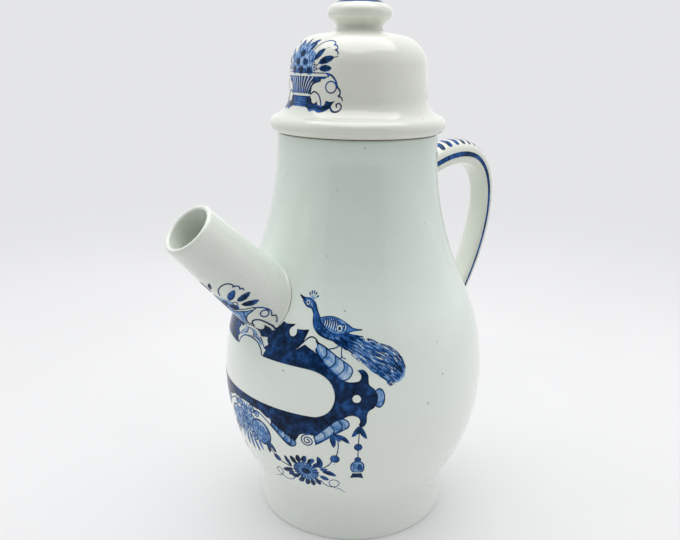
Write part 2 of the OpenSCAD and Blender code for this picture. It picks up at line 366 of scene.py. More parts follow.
def piece(name, points, faces, body, materials, replaced=()):
    """A closed mesh in millimetres as a piece that rides on a body and stands for some solids."""
    mesh = bpy.data.meshes.new(name)
    mesh.from_pydata([Vector(p) * MM for p in points], [], faces)
    tidy = bmesh.new()
    tidy.from_mesh(mesh)
    bmesh.ops.recalc_face_normals(tidy, faces=tidy.faces)
    tidy.to_mesh(mesh)
    tidy.free()
    mesh.shade_smooth()
    mesh.set_sharp_from_angle(angle=SMOOTH_ANGLE)
    for material in materials:
        mesh.materials.append(material)
    obj = bpy.data.objects.new(name, mesh)
    bpy.context.scene.collection.objects.link(obj)
    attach(obj, body)
    if replaced:
        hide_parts(*replaced)
    return obj


def tube_faces(rings, sides, closed=False):
    """Faces between rings of points, each ring closed. A closed tube joins its last ring to its first."""
    faces = []
    last = rings if closed else rings - 1
    for i in range(last):
        for k in range(sides):
            a = i * sides + k
            b = i * sides + (k + 1) % sides
            c = (i + 1) % rings * sides + (k + 1) % sides
            d = (i + 1) % rings * sides + k
            faces.append((a, b, c, d))
    return faces


def capped(points, sides, ends):
    """Points and faces of a tube of rings that is closed by a pole at each end."""
    count = len(points)
    last_ring = count - sides
    faces = tube_faces(count // sides, sides)
    for k in range(sides):
        after = (k + 1) % sides
        faces.append((count, after, k))
        faces.append((count + 1, last_ring + k, last_ring + after))
    return [*points, *ends], faces


def lathe(profile, sides, uneven=None):
    """Points and faces of a turned form, whose profile starts and ends on the axis."""
    theta = np.arange(sides) * 2 * math.pi / sides
    points = []
    for r, z in profile[1:-1]:
        points.extend(turned(theta, r + (uneven(theta, z, r) if uneven else 0 * theta), z))
    return capped(points, sides, [(0, 0, profile[0][1]), (0, 0, profile[-1][1])])


def arc(centre, radius, start, stop, steps):
    """Points along an arc, in degrees."""
    turns = np.radians(np.linspace(start, stop, steps + 1))
    return [(centre[0] + radius * math.cos(a), centre[1] + radius * math.sin(a)) for a in turns]


# Materials

class Shader:
    """The nodes of a material or a world, with short ways to add what the looks here need."""

    def __init__(self, owner, place="Object"):
        owner.use_nodes = True
        self.nodes = owner.node_tree.nodes
        self.links = owner.node_tree.links
        self.place = self.add("TexCoord")[place]

    def feed(self, node, inputs):
        """Gives a node its inputs, by name or number: a socket is linked, and a plain value is set."""
        for key, value in dict(inputs).items():
            socket = node.inputs[key]
            if isinstance(value, bpy.types.NodeSocket):
                self.links.new(value, socket)
            else:
                socket.default_value = (*value, 1) if socket.type == "RGBA" else value

    def add(self, kind, inputs=(), **settings):
        """Adds a node and returns its outputs."""
        node = self.nodes.new("ShaderNode" + kind)
        for key, value in settings.items():
            setattr(node, key, value)
        self.feed(node, inputs)
        return node.outputs

    def surface(self, inputs):
        self.feed(self.nodes["Principled BSDF"], inputs)

    def attribute(self, name):
        return self.add("Attribute", attribute_name=name)["Fac"]

    def math(self, operation, *values):
        return self.add("Math", dict(enumerate(values)), operation=operation)[0]

    def mix(self, factor, first, second, blend="MIX"):
        return self.add("Mix", {0: factor, 6: first, 7: second}, data_type="RGBA", blend_type=blend)[2]

    def noise(self, scale, detail=3, roughness=0.5):
        inputs = {"Vector": self.place, "Scale": scale, "Detail": detail, "Roughness": roughness}
        return self.add("TexNoise", inputs)["Fac"]

    def bump(self, height, strength, distance):
        return self.add("Bump", {"Height": height, "Strength": strength, "Distance": distance})["Normal"]

    def spread(self, value, start=0, stop=1, first=0, last=1, kind="LINEAR"):
        """Brings a value from one range to another, no further than its ends."""
        inputs = {"Value": value, "From Min": start, "From Max": stop, "To Min": first, "To Max": last}
        return self.add("MapRange", inputs, interpolation_type=kind)["Result"]

    def ramp(self, factor, *stops):
        """Colours at places from 0 to 1. A single number stands for a grey."""
        node = self.nodes.new("ShaderNodeValToRGB")
        elements = node.color_ramp.elements
        while len(elements) < len(stops):
            elements.new(0.5)
        for element, (place, colour) in zip(elements, stops):
            element.position = place
            element.color = (*(colour if isinstance(colour, tuple) else (colour,) * 3), 1)
        self.feed(node, {"Fac": factor})
        return node.outputs["Color"]


def new_material(name):
    made = bpy.data.materials.new(name)
    return made, Shader(made)


def glaze(name, pale, deep, fleck, low=None):
    """Tin glaze: a soft mottle of two near whites, pinhole specks, and a slightly wavy gloss.

    A glaze with a low colour gets painted light: it runs whiter towards the foot, a painted stand-in for
    light thrown up from the floor.
    """
    made, look = new_material(name)
    colour = look.ramp(look.noise(26, 4, 0.55), (0.36, deep), (0.62, pale))
    # Painted light: the colour is mixed towards a lighter one near the foot, standing in for light thrown up
    # from the floor
    if low:
        height = look.add("SeparateXYZ", {"Vector": look.place})["Z"]
        run = look.spread(height, BOUNCE_LIGHT_HEIGHTS[0] * MM, BOUNCE_LIGHT_HEIGHTS[1] * MM, 1, 0, "SMOOTHSTEP")
        colour = look.mix(run, colour, low)
    grain = look.ramp(look.noise(900, 2), (0.3, 0.975), (0.7, 1))
    colour = look.mix(1.0, colour, grain, "MULTIPLY")
    cells = look.add("TexVoronoi", {"Vector": look.place, "Scale": 140, "Randomness": 1})
    speck = look.ramp(cells["Distance"], (0.05, 1), (0.09, 0))
    rare = look.ramp(cells["Color"], (0.60, 0), (0.66, 1))
    faint = look.math("MULTIPLY", look.math("MULTIPLY", speck, rare), 0.5)
    look.surface({
        "Base Color": look.mix(faint, colour, fleck),
        "Roughness": look.ramp(look.noise(60), (0.3, 0.06), (0.7, 0.11)),
        "Normal": look.bump(look.noise(210, 2), 0.05, 0.0006),
        "IOR": 1.6,
        "Coat Weight": 0.2,
        "Coat Roughness": 0.09,
    })
    return made


def biscuit():
    """Bare fired clay where the pieces stand and touch."""
    made, look = new_material("bare_clay")
    colour = look.ramp(look.noise(300, 5, 0.6), (0.3, (0.25, 0.20, 0.15)), (0.7, (0.42, 0.35, 0.28)))
    look.surface({
        "Base Color": colour,
        "Roughness": look.ramp(look.noise(700), (0.2, 0.7), (0.8, 0.92)),
        "Normal": look.bump(look.noise(1500), 0.35, 0.0004),
    })
    return made


def cobalt():
    """Cobalt blue under the gloss: the shade comes with the stroke, and pools and brush streaks vary it."""
    made, look = new_material("cobalt_paint")
    shade = look.attribute("shade")
    for scale, amount in ((95, 0.78), (380, 0.65)):
        shade = look.math("MULTIPLY_ADD", look.math("SUBTRACT", look.noise(scale), 0.5), amount, shade)
    pool = look.spread(look.attribute("depth"), 0, 0.8, -0.06, 0.02)
    blues = look.ramp(
        look.math("ADD", shade, pool),
        (0.0, (0.001, 0.009, 0.030)),
        (0.20, (0.005, 0.027, 0.088)),
        (0.45, (0.020, 0.100, 0.340)),
        (0.65, (0.090, 0.240, 0.540)),
        (0.82, (0.280, 0.455, 0.690)),
        (1.0, (0.500, 0.630, 0.760)),
    )
    gloss = look.ramp(look.noise(90), (0.3, 0.12), (0.7, 0.20))
    look.surface({"Base Color": blues, "Roughness": gloss, "Specular IOR Level": 0.11})
    return made


def hairline():
    """Dust and clay that show in a fine crack of the glaze."""
    made, look = new_material("glaze_hairline")
    look.surface({
        "Base Color": look.ramp(look.noise(420), (0.35, (0.26, 0.25, 0.20)), (0.65, (0.48, 0.48, 0.41))),
        "Roughness": look.ramp(look.noise(800, 2), (0.3, 0.35), (0.7, 0.6)),
    })
    return made


# Heights between which the body's colour turns from its whiter foot, which is painted bounce light from the
# floor, to its greyer neck
BOUNCE_LIGHT_HEIGHTS = (60, 150)
# The body glaze's last colour is painted bounce light near the foot
BODY_GLAZE = glaze(
    "grey_white_glaze", (0.720, 0.808, 0.730), (0.685, 0.776, 0.697), (0.16, 0.17, 0.15), (0.89, 0.94, 0.875)
)
WHITE_GLAZE = glaze("warm_white_glaze", (0.765, 0.785, 0.705), (0.730, 0.752, 0.673), (0.20, 0.18, 0.14))
SPOUT_GLAZE = glaze("spout_glaze", (0.776, 0.822, 0.748), (0.741, 0.789, 0.714), (0.20, 0.18, 0.14))
BARE_CLAY = biscuit()
COBALT = cobalt()
HAIRLINE = hairline()


# Glazed pieces

TURN_SIDES = 192


def jar_profile():
    """The jar's cut face, from the middle of its underside over the rim to the middle of its floor."""
    recess_r = FOOT_R - FOOT_RING_W
    outer_z = np.linspace(FOOT_H, RIM_H - RIM_ROUND, 126)
    outer = list(zip(jar_r(outer_z), outer_z))
    under = [(r, FOOT_RECESS) for r in (0, 8, 16, 24, 32, recess_r - FOOT_RECESS)]
    under += [(recess_r, 0), (recess_r + 2, 0), (FOOT_R - FOOT_ROUND - 2, 0)]
    foot = arc((FOOT_R - FOOT_ROUND, FOOT_ROUND), FOOT_ROUND, -90, 0, 8) + [(FOOT_R, 5)]
    mouth_r = NECK_R - WALL
    rim = arc((NECK_R - RIM_ROUND, RIM_H - RIM_ROUND), RIM_ROUND, 0, 90, 6)[1:]
    rim += arc((mouth_r + RIM_ROUND, RIM_H - RIM_ROUND), RIM_ROUND, 90, 180, 6)
    lean = jar_slope(outer_z)
    length = np.sqrt(1 + lean ** 2)
    inner_r = jar_r(outer_z) - WALL / length
    inner_z = outer_z + WALL * lean / length
    low, high = FLOOR_Z + FLOOR_ROUND, RIM_H - RIM_ROUND - 1
    inner = [(r, z) for r, z in zip(inner_r, inner_z) if low < z < high]
    inner.reverse()
    inner += arc((inner[-1][0] - FLOOR_ROUND, low), FLOOR_ROUND, 0, -90, 8)
    inner += [(r, FLOOR_Z) for r in (28, 20, 12, 6, 0)]
    return under + foot + outer + rim + inner


def jar_body():
    def uneven(theta, z, r):
        return hand(theta, z) if r > jar_r(z) - 0.01 else 0 * theta

    points, faces = lathe(jar_profile(), TURN_SIDES, uneven)
    jar = piece("jar_glazed", points, faces, "jar", (BODY_GLAZE, BARE_CLAY), ("jar_body",))
    pierce(jar)
    for face in jar.data.polygons:
        middle = face.center / MM
        bare_foot = middle.z < 0.5 and math.hypot(middle.x, middle.y) > FOOT_R - FOOT_RING_W
        bare_rim = middle.z > RIM_H - 0.3
        face.material_index = 1 if bare_foot or bare_rim else 0


def pierce(jar):
    """Cuts the hole behind the spout through the jar's wall."""
    bpy.ops.mesh.primitive_cylinder_add(vertices=64, radius=SPOUT_HOLE_R * MM, depth=2 * DRILL_REACH * MM)
    drill = bpy.context.object
    turn = Vector(SPOUT_AXIS).to_track_quat("Z", "Y").to_matrix().to_4x4()
    drill.matrix_world = Matrix.Translation(Vector(SPOUT_ROOT) * MM) @ turn
    cut = jar.modifiers.new("hole", "BOOLEAN")
    cut.operation = "DIFFERENCE"
    cut.solver = "EXACT"
    cut.object = drill
    bpy.context.view_layer.update()
    done = bpy.data.meshes.new_from_object(jar.evaluated_get(bpy.context.evaluated_depsgraph_get()))
    jar.modifiers.clear()
    jar.data = done
    bpy.data.objects.remove(drill)


def spout():
    sides = 144
    phi = np.arange(sides) * 2 * math.pi / sides
    low = np.full(sides, -30.0)
    high = np.full(sides, 30.0)
    outer_start = reach_depth(lambda t: spout_line(phi, t, spout_r(t)), low, high, ROOT_DEPTH)
    bore_r = np.full(sides, float(SPOUT_BORE_R))
    bore_start = reach_depth(lambda t: spout_line(phi, t, bore_r), low, high, BORE_DEPTH)
    lip = (SPOUT_MOUTH_R - SPOUT_BORE_R) / 2
    lip_t = SPOUT_LEN - lip
    shares = np.concatenate([np.linspace(0, 0.24, 61), np.linspace(0.25, 1, 40)])
    rings = [spout_point(phi, outer_start + (lip_t - outer_start) * q) for q in shares]
    lip_r = SPOUT_BORE_R + lip
    for turn in np.radians(np.linspace(0, 180, 15))[1:]:
        t = np.full(sides, lip_t + lip * math.sin(turn))
        rings.append(spout_line(phi, t, np.full(sides, lip_r + lip * math.cos(turn))))
    for q in np.linspace(1, 0, 30)[1:]:
        rings.append(spout_line(phi, bore_start + (lip_t - bore_start) * q, bore_r))
    points = np.concatenate(rings)
    faces = tube_faces(len(rings), sides, closed=True)
    nodes = ("spout", "spout_seam")
    piece("spout_glazed", points, faces, "jar", (SPOUT_GLAZE,), nodes)


def handle():
    sides = 72
    rings = 150
    edge = np.arange(sides) * SECTION_RUN[-1] / sides
    middle = np.full(sides, 0.5)
    first = reach_depth(lambda s: strap_point(edge, s, 0), 0 * edge, middle, ROOT_DEPTH)
    last = reach_depth(lambda s: strap_point(edge, s, 0), 0 * edge + 1, middle, ROOT_DEPTH)
    even = np.linspace(0, 1, rings)
    shares = 0.5 - 0.5 * np.cos(math.pi * even) * 0.6 + (even - 0.5) * 0.4
    points = np.concatenate([strap_point(edge, first + (last - first) * q) for q in shares])
    ends = [points[:sides].mean(0), points[-sides:].mean(0)]
    points, faces = capped(points, sides, ends)
    nodes = ("handle", "handle_top_seam", "handle_low_seam")
    piece("handle_glazed", points, faces, "jar", (WHITE_GLAZE,), nodes)


def lid_profile():
    """The lid's cut face, from the middle of its hollow over ring and flange to the top under the knob."""
    slope = 90 - math.degrees(DOME_SLOPE)
    turn = math.degrees(math.atan2(COVE_C[1] - ROLL_C[1], COVE_C[0] - ROLL_C[0]))
    inside_r = DOME_R - LID_WALL
    hollow = [(0, dome_top(6, LID_WALL))]
    hollow += [(r, dome_top(r, LID_WALL)) for r in (6, 9, 12, 15)]
    hollow += arc(DOME_C, DOME_ROUND - LID_WALL, slope, 0, 14)
    hollow += [(inside_r, RIM_H + row) for row in HOLLOW_ROWS]
    ring_in = RING_R - RING_W
    ring = [(inside_r + 0.6, RIM_H + 0.6), (ring_in, RIM_H - 1.2), (ring_in, RING_ROW_Z)]
    ring += arc((ring_in + 1, RING_LOW + 1), 1, 180, 270, 4)
    ring += arc((RING_R - 1, RING_LOW + 1), 1, 270, 360, 4)
    ring += [(RING_R, RING_ROW_Z), (RING_R, RIM_H), (SEAT_ROW_R, RIM_H)]
    outside = arc(ROLL_C, FLANGE_ROLL, -90, turn, 26)
    outside += arc(COVE_C, COVE_R, turn + 180, 180, 14)[1:]
    outside += [(float(lid_r(z)), z) for z in np.linspace(COVE_C[1], DOME_C[1], 9)[1:-1]]
    outside += arc(DOME_C, DOME_ROUND, 0, slope, 26)
    outside += [(r, dome_top(r)) for r in (15, 13, KNOB_FOOT_R, 8)]
    return hollow + ring + outside + [(0, LID_TOP)]


def lid():
    points, faces = lathe(lid_profile(), TURN_SIDES)
    nodes = ("lid_cover", "lid_locating_ring")
    cover = piece("lid_glazed", points, faces, "lid", (WHITE_GLAZE, BARE_CLAY), nodes)
    for face in cover.data.polygons:
        middle = face.center / MM
        seat = abs(middle.z - RIM_H) < 0.25 and math.hypot(middle.x, middle.y) > RING_R
        face.material_index = 1 if seat else 0


def knob_crown(t):
    """Points of the knob's low domed top, from its rounded edge at 0 to its middle at 1."""
    rise = LID_TOP + KNOB_H - KNOB_SHOULDER[1]
    crown_r = KNOB_SHOULDER[0] - rise * math.tan(KNOB_OVER)
    r = quadratic(KNOB_SHOULDER[0], crown_r, 0, t)
    z = KNOB_SHOULDER[1] + rise * (1 - (1 - t) ** 2)
    return r, z


def knob_profile():
    """The knob and the slip round its foot, from the dome under it to the middle of its top."""
    seam_r = KNOB_FOOT_R + KNOB_SEAM
    seam = np.array((seam_r, dome_top(seam_r)))
    corner = np.array((KNOB_FOOT_R - 0.2, dome_top(KNOB_FOOT_R)))
    waist = np.array((KNOB_WAIST_R, LID_TOP + KNOB_WAIST_H))
    hollow = np.array((KNOB_WAIST_R + 0.2, waist[1] + 1.0))
    under = np.array(lead(KNOB_EDGE_C, KNOB_EDGE, KNOB_UNDER))
    profile = [(0, LID_TOP - 1), (seam_r, dome_top(seam_r) - 0.3)]
    profile += [quadratic(seam, corner, waist, t) for t in np.linspace(0, 1, 11)]
    profile += [quadratic(waist, hollow, under, t) for t in np.linspace(0, 1, 9)[1:-1]]
    profile += arc(KNOB_EDGE_C, KNOB_EDGE, math.degrees(KNOB_UNDER), math.degrees(KNOB_OVER), 18)
    profile += [knob_crown(t) for t in np.linspace(0, 1, 21)[1:-1]]
    return profile + [(0, LID_TOP + KNOB_H)]


def knob():
    points, faces = lathe(knob_profile(), 96)
    nodes = ("lid_knob", "knob_seam")
    piece("knob_glazed", points, faces, "lid", (WHITE_GLAZE,), nodes)


jar_body()
spout()
handle()
lid()
knob()


# Painting: shapes on flat sheets, which are then laid on the glaze as thin skins
# A shape is its low and high corner, and a function that tells how far inside it places lie

FAR = -9.0
PAINT_SINK = 0.06
# Each tone's shade, from 0 for the deepest blue to 1 for the palest wash, and its height above the glaze
TONES = {
    "pale": (0.84, 0.020),
    "wash": (0.73, 0.030),
    "mid": (0.46, 0.042),
    "line": (0.33, 0.054),
    "dark": (0.17, 0.066),
}


def smooth(points, closed=False, steps=6):
    """A smooth line through given points."""
    p = np.array(points, float)
    count = len(p)
    t = (np.arange(steps) / steps)[:, None]
    runs = []
    for i in range(count if closed else count - 1):
        spots = range(i - 1, i + 3)
        a, b, c, d = (p[k % count] if closed else p[min(max(k, 0), count - 1)] for k in spots)
        square = 2 * a - 5 * b + 4 * c - d
        cube = 3 * b - a - 3 * c + d
        runs.append(b + 0.5 * ((c - a) * t + square * t ** 2 + cube * t ** 3))
    line = np.concatenate(runs)
    return line if closed else np.vstack([line, p[-1:]])


def from_segment(u, v, a, b):
    """Distance of places from a straight segment, and how far along it the nearest point is."""
    w = b - a
    t = np.clip(((u - a[0]) * w[0] + (v - a[1]) * w[1]) / max(w @ w, 1e-9), 0, 1)
    return np.hypot(u - a[0] - t * w[0], v - a[1] - t * w[1]), t


def stroke(points, width, closed=False, curved=True):
    """A brush stroke along points. Several widths follow one another along its length."""
    line = smooth(points, closed) if curved else np.array(points, float)
    if closed:
        line = np.vstack([line, line[:1]])
    run = run_along(line)
    widths = np.atleast_1d(np.array(width, float))
    half = np.interp(run / run[-1], np.linspace(0, 1, len(widths)), widths) / 2

    def inside(u, v):
        best = np.full(u.shape, FAR)
        for a, b, from_half, to_half in zip(line, line[1:], half, half[1:]):
            away, t = from_segment(u, v, a, b)
            best = np.maximum(best, from_half + (to_half - from_half) * t - away)
        return best

    return line.min(0) - half.max(), line.max(0) + half.max(), inside


def area(points, curved=True):
    """A filled shape with a smooth outline."""
    line = smooth(points, True) if curved else np.array(points, float)

    def inside(u, v):
        nearest = np.full(u.shape, -FAR)
        within = np.zeros(u.shape, bool)
        for a, b in zip(line, np.roll(line, -1, 0)):
            nearest = np.minimum(nearest, from_segment(u, v, a, b)[0])
            if a[1] != b[1]:
                spans = (a[1] > v) != (b[1] > v)
                within ^= spans & (u < a[0] + (v - a[1]) * (b[0] - a[0]) / (b[1] - a[1]))
        return np.where(within, nearest, -nearest)

    return line.min(0), line.max(0), inside


def within(outline, shape):
    """The part of a shape that lies inside another one."""
    low, high, inside = shape
    return low, high, lambda u, v: np.minimum(inside(u, v), outline[2](u, v))


def oval_points(centre, across, up, turn=0, count=28):
    a = np.arange(count) * 2 * math.pi / count
    x, y = across * np.cos(a), up * np.sin(a)
    c, s = math.cos(turn), math.sin(turn)
    return np.stack([centre[0] + c * x - s * y, centre[1] + s * x + c * y], -1)


def oval(centre, across, up=None, turn=0):
    return area(oval_points(centre, across, up or across, turn), curved=False)


def ring(centre, across, width, up=None, turn=0):
    return stroke(oval_points(centre, across, up or across, turn), width, closed=True, curved=False)


def leaf(start, stop, width, bend=0.0):
    """A lens-shaped brush mark that bulges to its left by bend."""
    a, b = np.array(start, float), np.array(stop, float)
    side = np.array([a[1] - b[1], b[0] - a[0]]) / np.linalg.norm(b - a)
    bulges = ((0.25, 0.75), (0.55, 1), (0.8, 0.6))
    inner = [a + (b - a) * q + side * bend * s for q, s in bulges]
    return stroke([a, *inner, b], (0.15, 0.8 * width, width, 0.75 * width, 0.1))


def spiral(centre, outer, inner, turns, start, width):
    a = np.linspace(0, 1, int(turns * 14) + 1)
    r = outer + (inner - outer) * a
    angle = math.radians(start) + a * turns * 2 * math.pi
    points = np.stack([centre[0] + r * np.cos(angle), centre[1] + r * np.sin(angle)], -1)
    return stroke(points, width, curved=False)


class Canvas:
    """A flat sheet that holds, for each tone, how far inside the painted shapes each place lies.

    A mirrored canvas holds the right half, from its middle line outwards.
    """

    def __init__(self, across, along, step, mirrored=True):
        self.u = np.arange(across[0], across[1] + step / 2, step)
        self.v = np.arange(along[0], along[1] + step / 2, step)
        self.step = step
        self.mirrored = mirrored
        self.tones = {tone: np.full((len(self.v), len(self.u)), FAR) for tone in TONES}

    def window(self, low, high):
        room = 2 * self.step
        rows = slice(*np.searchsorted(self.v, (low[1] - room, high[1] + room)))
        columns = slice(*np.searchsorted(self.u, (low[0] - room, high[0] + room)))
        return rows, columns

    def put(self, shape, tone, clear=False):
        low, high, inside = shape
        rows, columns = self.window(low, high)
        if rows.start >= rows.stop or columns.start >= columns.stop:
            return
        u, v = np.meshgrid(self.u[columns], self.v[rows])
        depth = inside(u, v)
        sheet = self.tones[tone]
        kept = sheet[rows, columns]
        sheet[rows, columns] = np.minimum(kept, -depth) if clear else np.maximum(kept, depth)

    def paint(self, tone, *shapes):
        for shape in shapes:
            self.put(shape, tone)

    def draw(self, tone, width, *points):
        """Paints one stroke of the brush."""
        self.put(stroke(points, width), tone)

    def fill(self, tone, *points):
        """Paints one filled shape."""
        self.put(area(points), tone)

    def leave(self, *shapes, tones=tuple(TONES)):
        """Takes shapes out of the paint again, as bare glaze."""
        for shape in shapes:
            for tone in tones:
                self.put(shape, tone, clear=True)

    def sheet(self, tone):
        """The whole sheet of a tone, with bare edges, and its places across and along."""
        depth = self.tones[tone]
        u = self.u
        if self.mirrored:
            start = 1 if abs(u[0]) < 1e-9 else 0
            gap = np.full((len(self.v), 2), FAR)
            middle = () if start else (gap,)
            depth = np.hstack([depth[:, ::-1][:, : len(u) - start], *middle, depth])
            inner = () if start else (-u[0] + self.step, u[0] - self.step)
            u = np.concatenate([-u[::-1][: len(u) - start], inner, u])
        depth = depth.copy()
        depth[[0, -1]] = FAR
        depth[:, [0, -1]] = FAR
        return u, self.v, depth


def traced(depth):
    """Places, faces and edge steps of the part of a sheet where depth is above zero."""
    inside = depth > 0
    number = np.full(depth.shape, -1)
    number[inside] = np.arange(inside.sum())
    places = [tuple(p) for p in np.argwhere(inside).astype(float)]
    crossings = {}

    def crossing(p, q):
        key = (min(p, q), max(p, q))
        if key not in crossings:
            a, b = depth[key[0]], depth[key[1]]
            share = min(max(a / (a - b), 0.06), 0.94)
            crossings[key] = len(places)
            places.append(tuple(np.array(key[0]) + share * (np.array(key[1]) - np.array(key[0]))))
        return crossings[key]

    full = inside[:-1, :-1] & inside[:-1, 1:] & inside[1:, 1:] & inside[1:, :-1]
    some = inside[:-1, :-1] | inside[:-1, 1:] | inside[1:, 1:] | inside[1:, :-1]
    r, c = np.nonzero(full)
    corners = (number[r, c], number[r, c + 1], number[r + 1, c + 1], number[r + 1, c])
    faces = [tuple(f) for f in np.stack(corners, -1).tolist()]
    edges = []
    for r, c in np.argwhere(some & ~full).tolist():
        round_cell = ((r, c), (r, c + 1), (r + 1, c + 1), (r + 1, c))
        face, leaving = [], []
        for k, p in enumerate(round_cell):
            q = round_cell[(k + 1) % 4]
            if inside[p]:
                face.append(int(number[p]))
            if inside[p] != inside[q]:
                if inside[p]:
                    leaving.append(len(face))
                face.append(crossing(p, q))
        faces.append(tuple(face))
        edges.extend((face[k], face[(k + 1) % len(face)]) for k in leaving)
    return np.array(places), faces, edges


def lifted(surface, u, v, height):
    """Points of a sheet on a surface, raised off it by a height."""
    step = 0.02
    p = surface(u, v)
    across = surface(u + step, v) - surface(u - step, v)
    along = surface(u, v + step) - surface(u, v - step)
    return p + unit(np.cross(across, along)) * height


def set_layers(obj, **layers):
    """Values at the points of a piece, which its material reads by name."""
    for name, values in layers.items():
        layer = obj.data.attributes.new(name, "FLOAT", "POINT")
        layer.data.foreach_set("value", np.array(values, np.float32))


def painted(name, canvas, surface, body, raise_by=0.0, material=COBALT):
    """Lays a canvas on a surface: one thin closed skin for each tone, the darker above the paler."""
    points, faces, shades, depths = [], [], [], []
    for tone, (shade, height) in TONES.items():
        u, v, depth = canvas.sheet(tone)
        if depth.max() <= 0:
            continue
        places, tops, edges = traced(depth)
        at_u = np.interp(places[:, 1], np.arange(len(u)), u)
        at_v = np.interp(places[:, 0], np.arange(len(v)), v)
        nearest = np.round(places).astype(int)
        start, count = len(points), len(places)
        points.extend(lifted(surface, at_u, at_v, height + raise_by))
        points.extend(lifted(surface, at_u, at_v, -PAINT_SINK))
        faces.extend(tuple(start + k for k in face) for face in tops)
        faces.extend(tuple(start + count + k for k in reversed(face)) for face in tops)
        faces.extend((start + b, start + a, start + count + a, start + count + b) for a, b in edges)
        shades.extend([shade] * 2 * count)
        depths.extend(np.tile(np.maximum(depth[nearest[:, 0], nearest[:, 1]], 0), 2))
    obj = piece(name, points, faces, body, (material,))
    set_layers(obj, shade=shades, depth=depths)


# Radius at which a millimetre across a sheet is a millimetre round the piece
JAR_SHEET_R = 62
LID_SHEET_R = 31.5
SPOUT_SHEET_R = 14
# The loose lid sits turned a little
LID_TURN = -1.6 / LID_SHEET_R
HANDLE_SHEET_L = 150
# Shares of the way over the knob's top between which its band lies
KNOB_BAND = (0.11, 0.27)


def on_jar(u, v):
    return jar_point(u / JAR_SHEET_R, v)


def on_lid(u, v):
    return lid_point(u / LID_SHEET_R + LID_TURN, v)


def on_spout(u, v):
    """A sheet on the spout, which runs on over the jar's wall where the spout ends."""
    p = spout_point(u / SPOUT_SHEET_R, v)
    sunk = np.maximum(-jar_gap(p), 0)
    r = np.hypot(p[..., 0], p[..., 1])
    out = np.stack([p[..., 0] / r, p[..., 1] / r, -jar_slope(p[..., 2])], -1)
    return p + unit(out) * sunk[..., None]


def on_handle(u, v):
    return strap_point(u, v / HANDLE_SHEET_L)


def corner(u, v):
    """A point given twice, which makes a corner in a smooth outline."""
    return [(u, v), (u, v)]


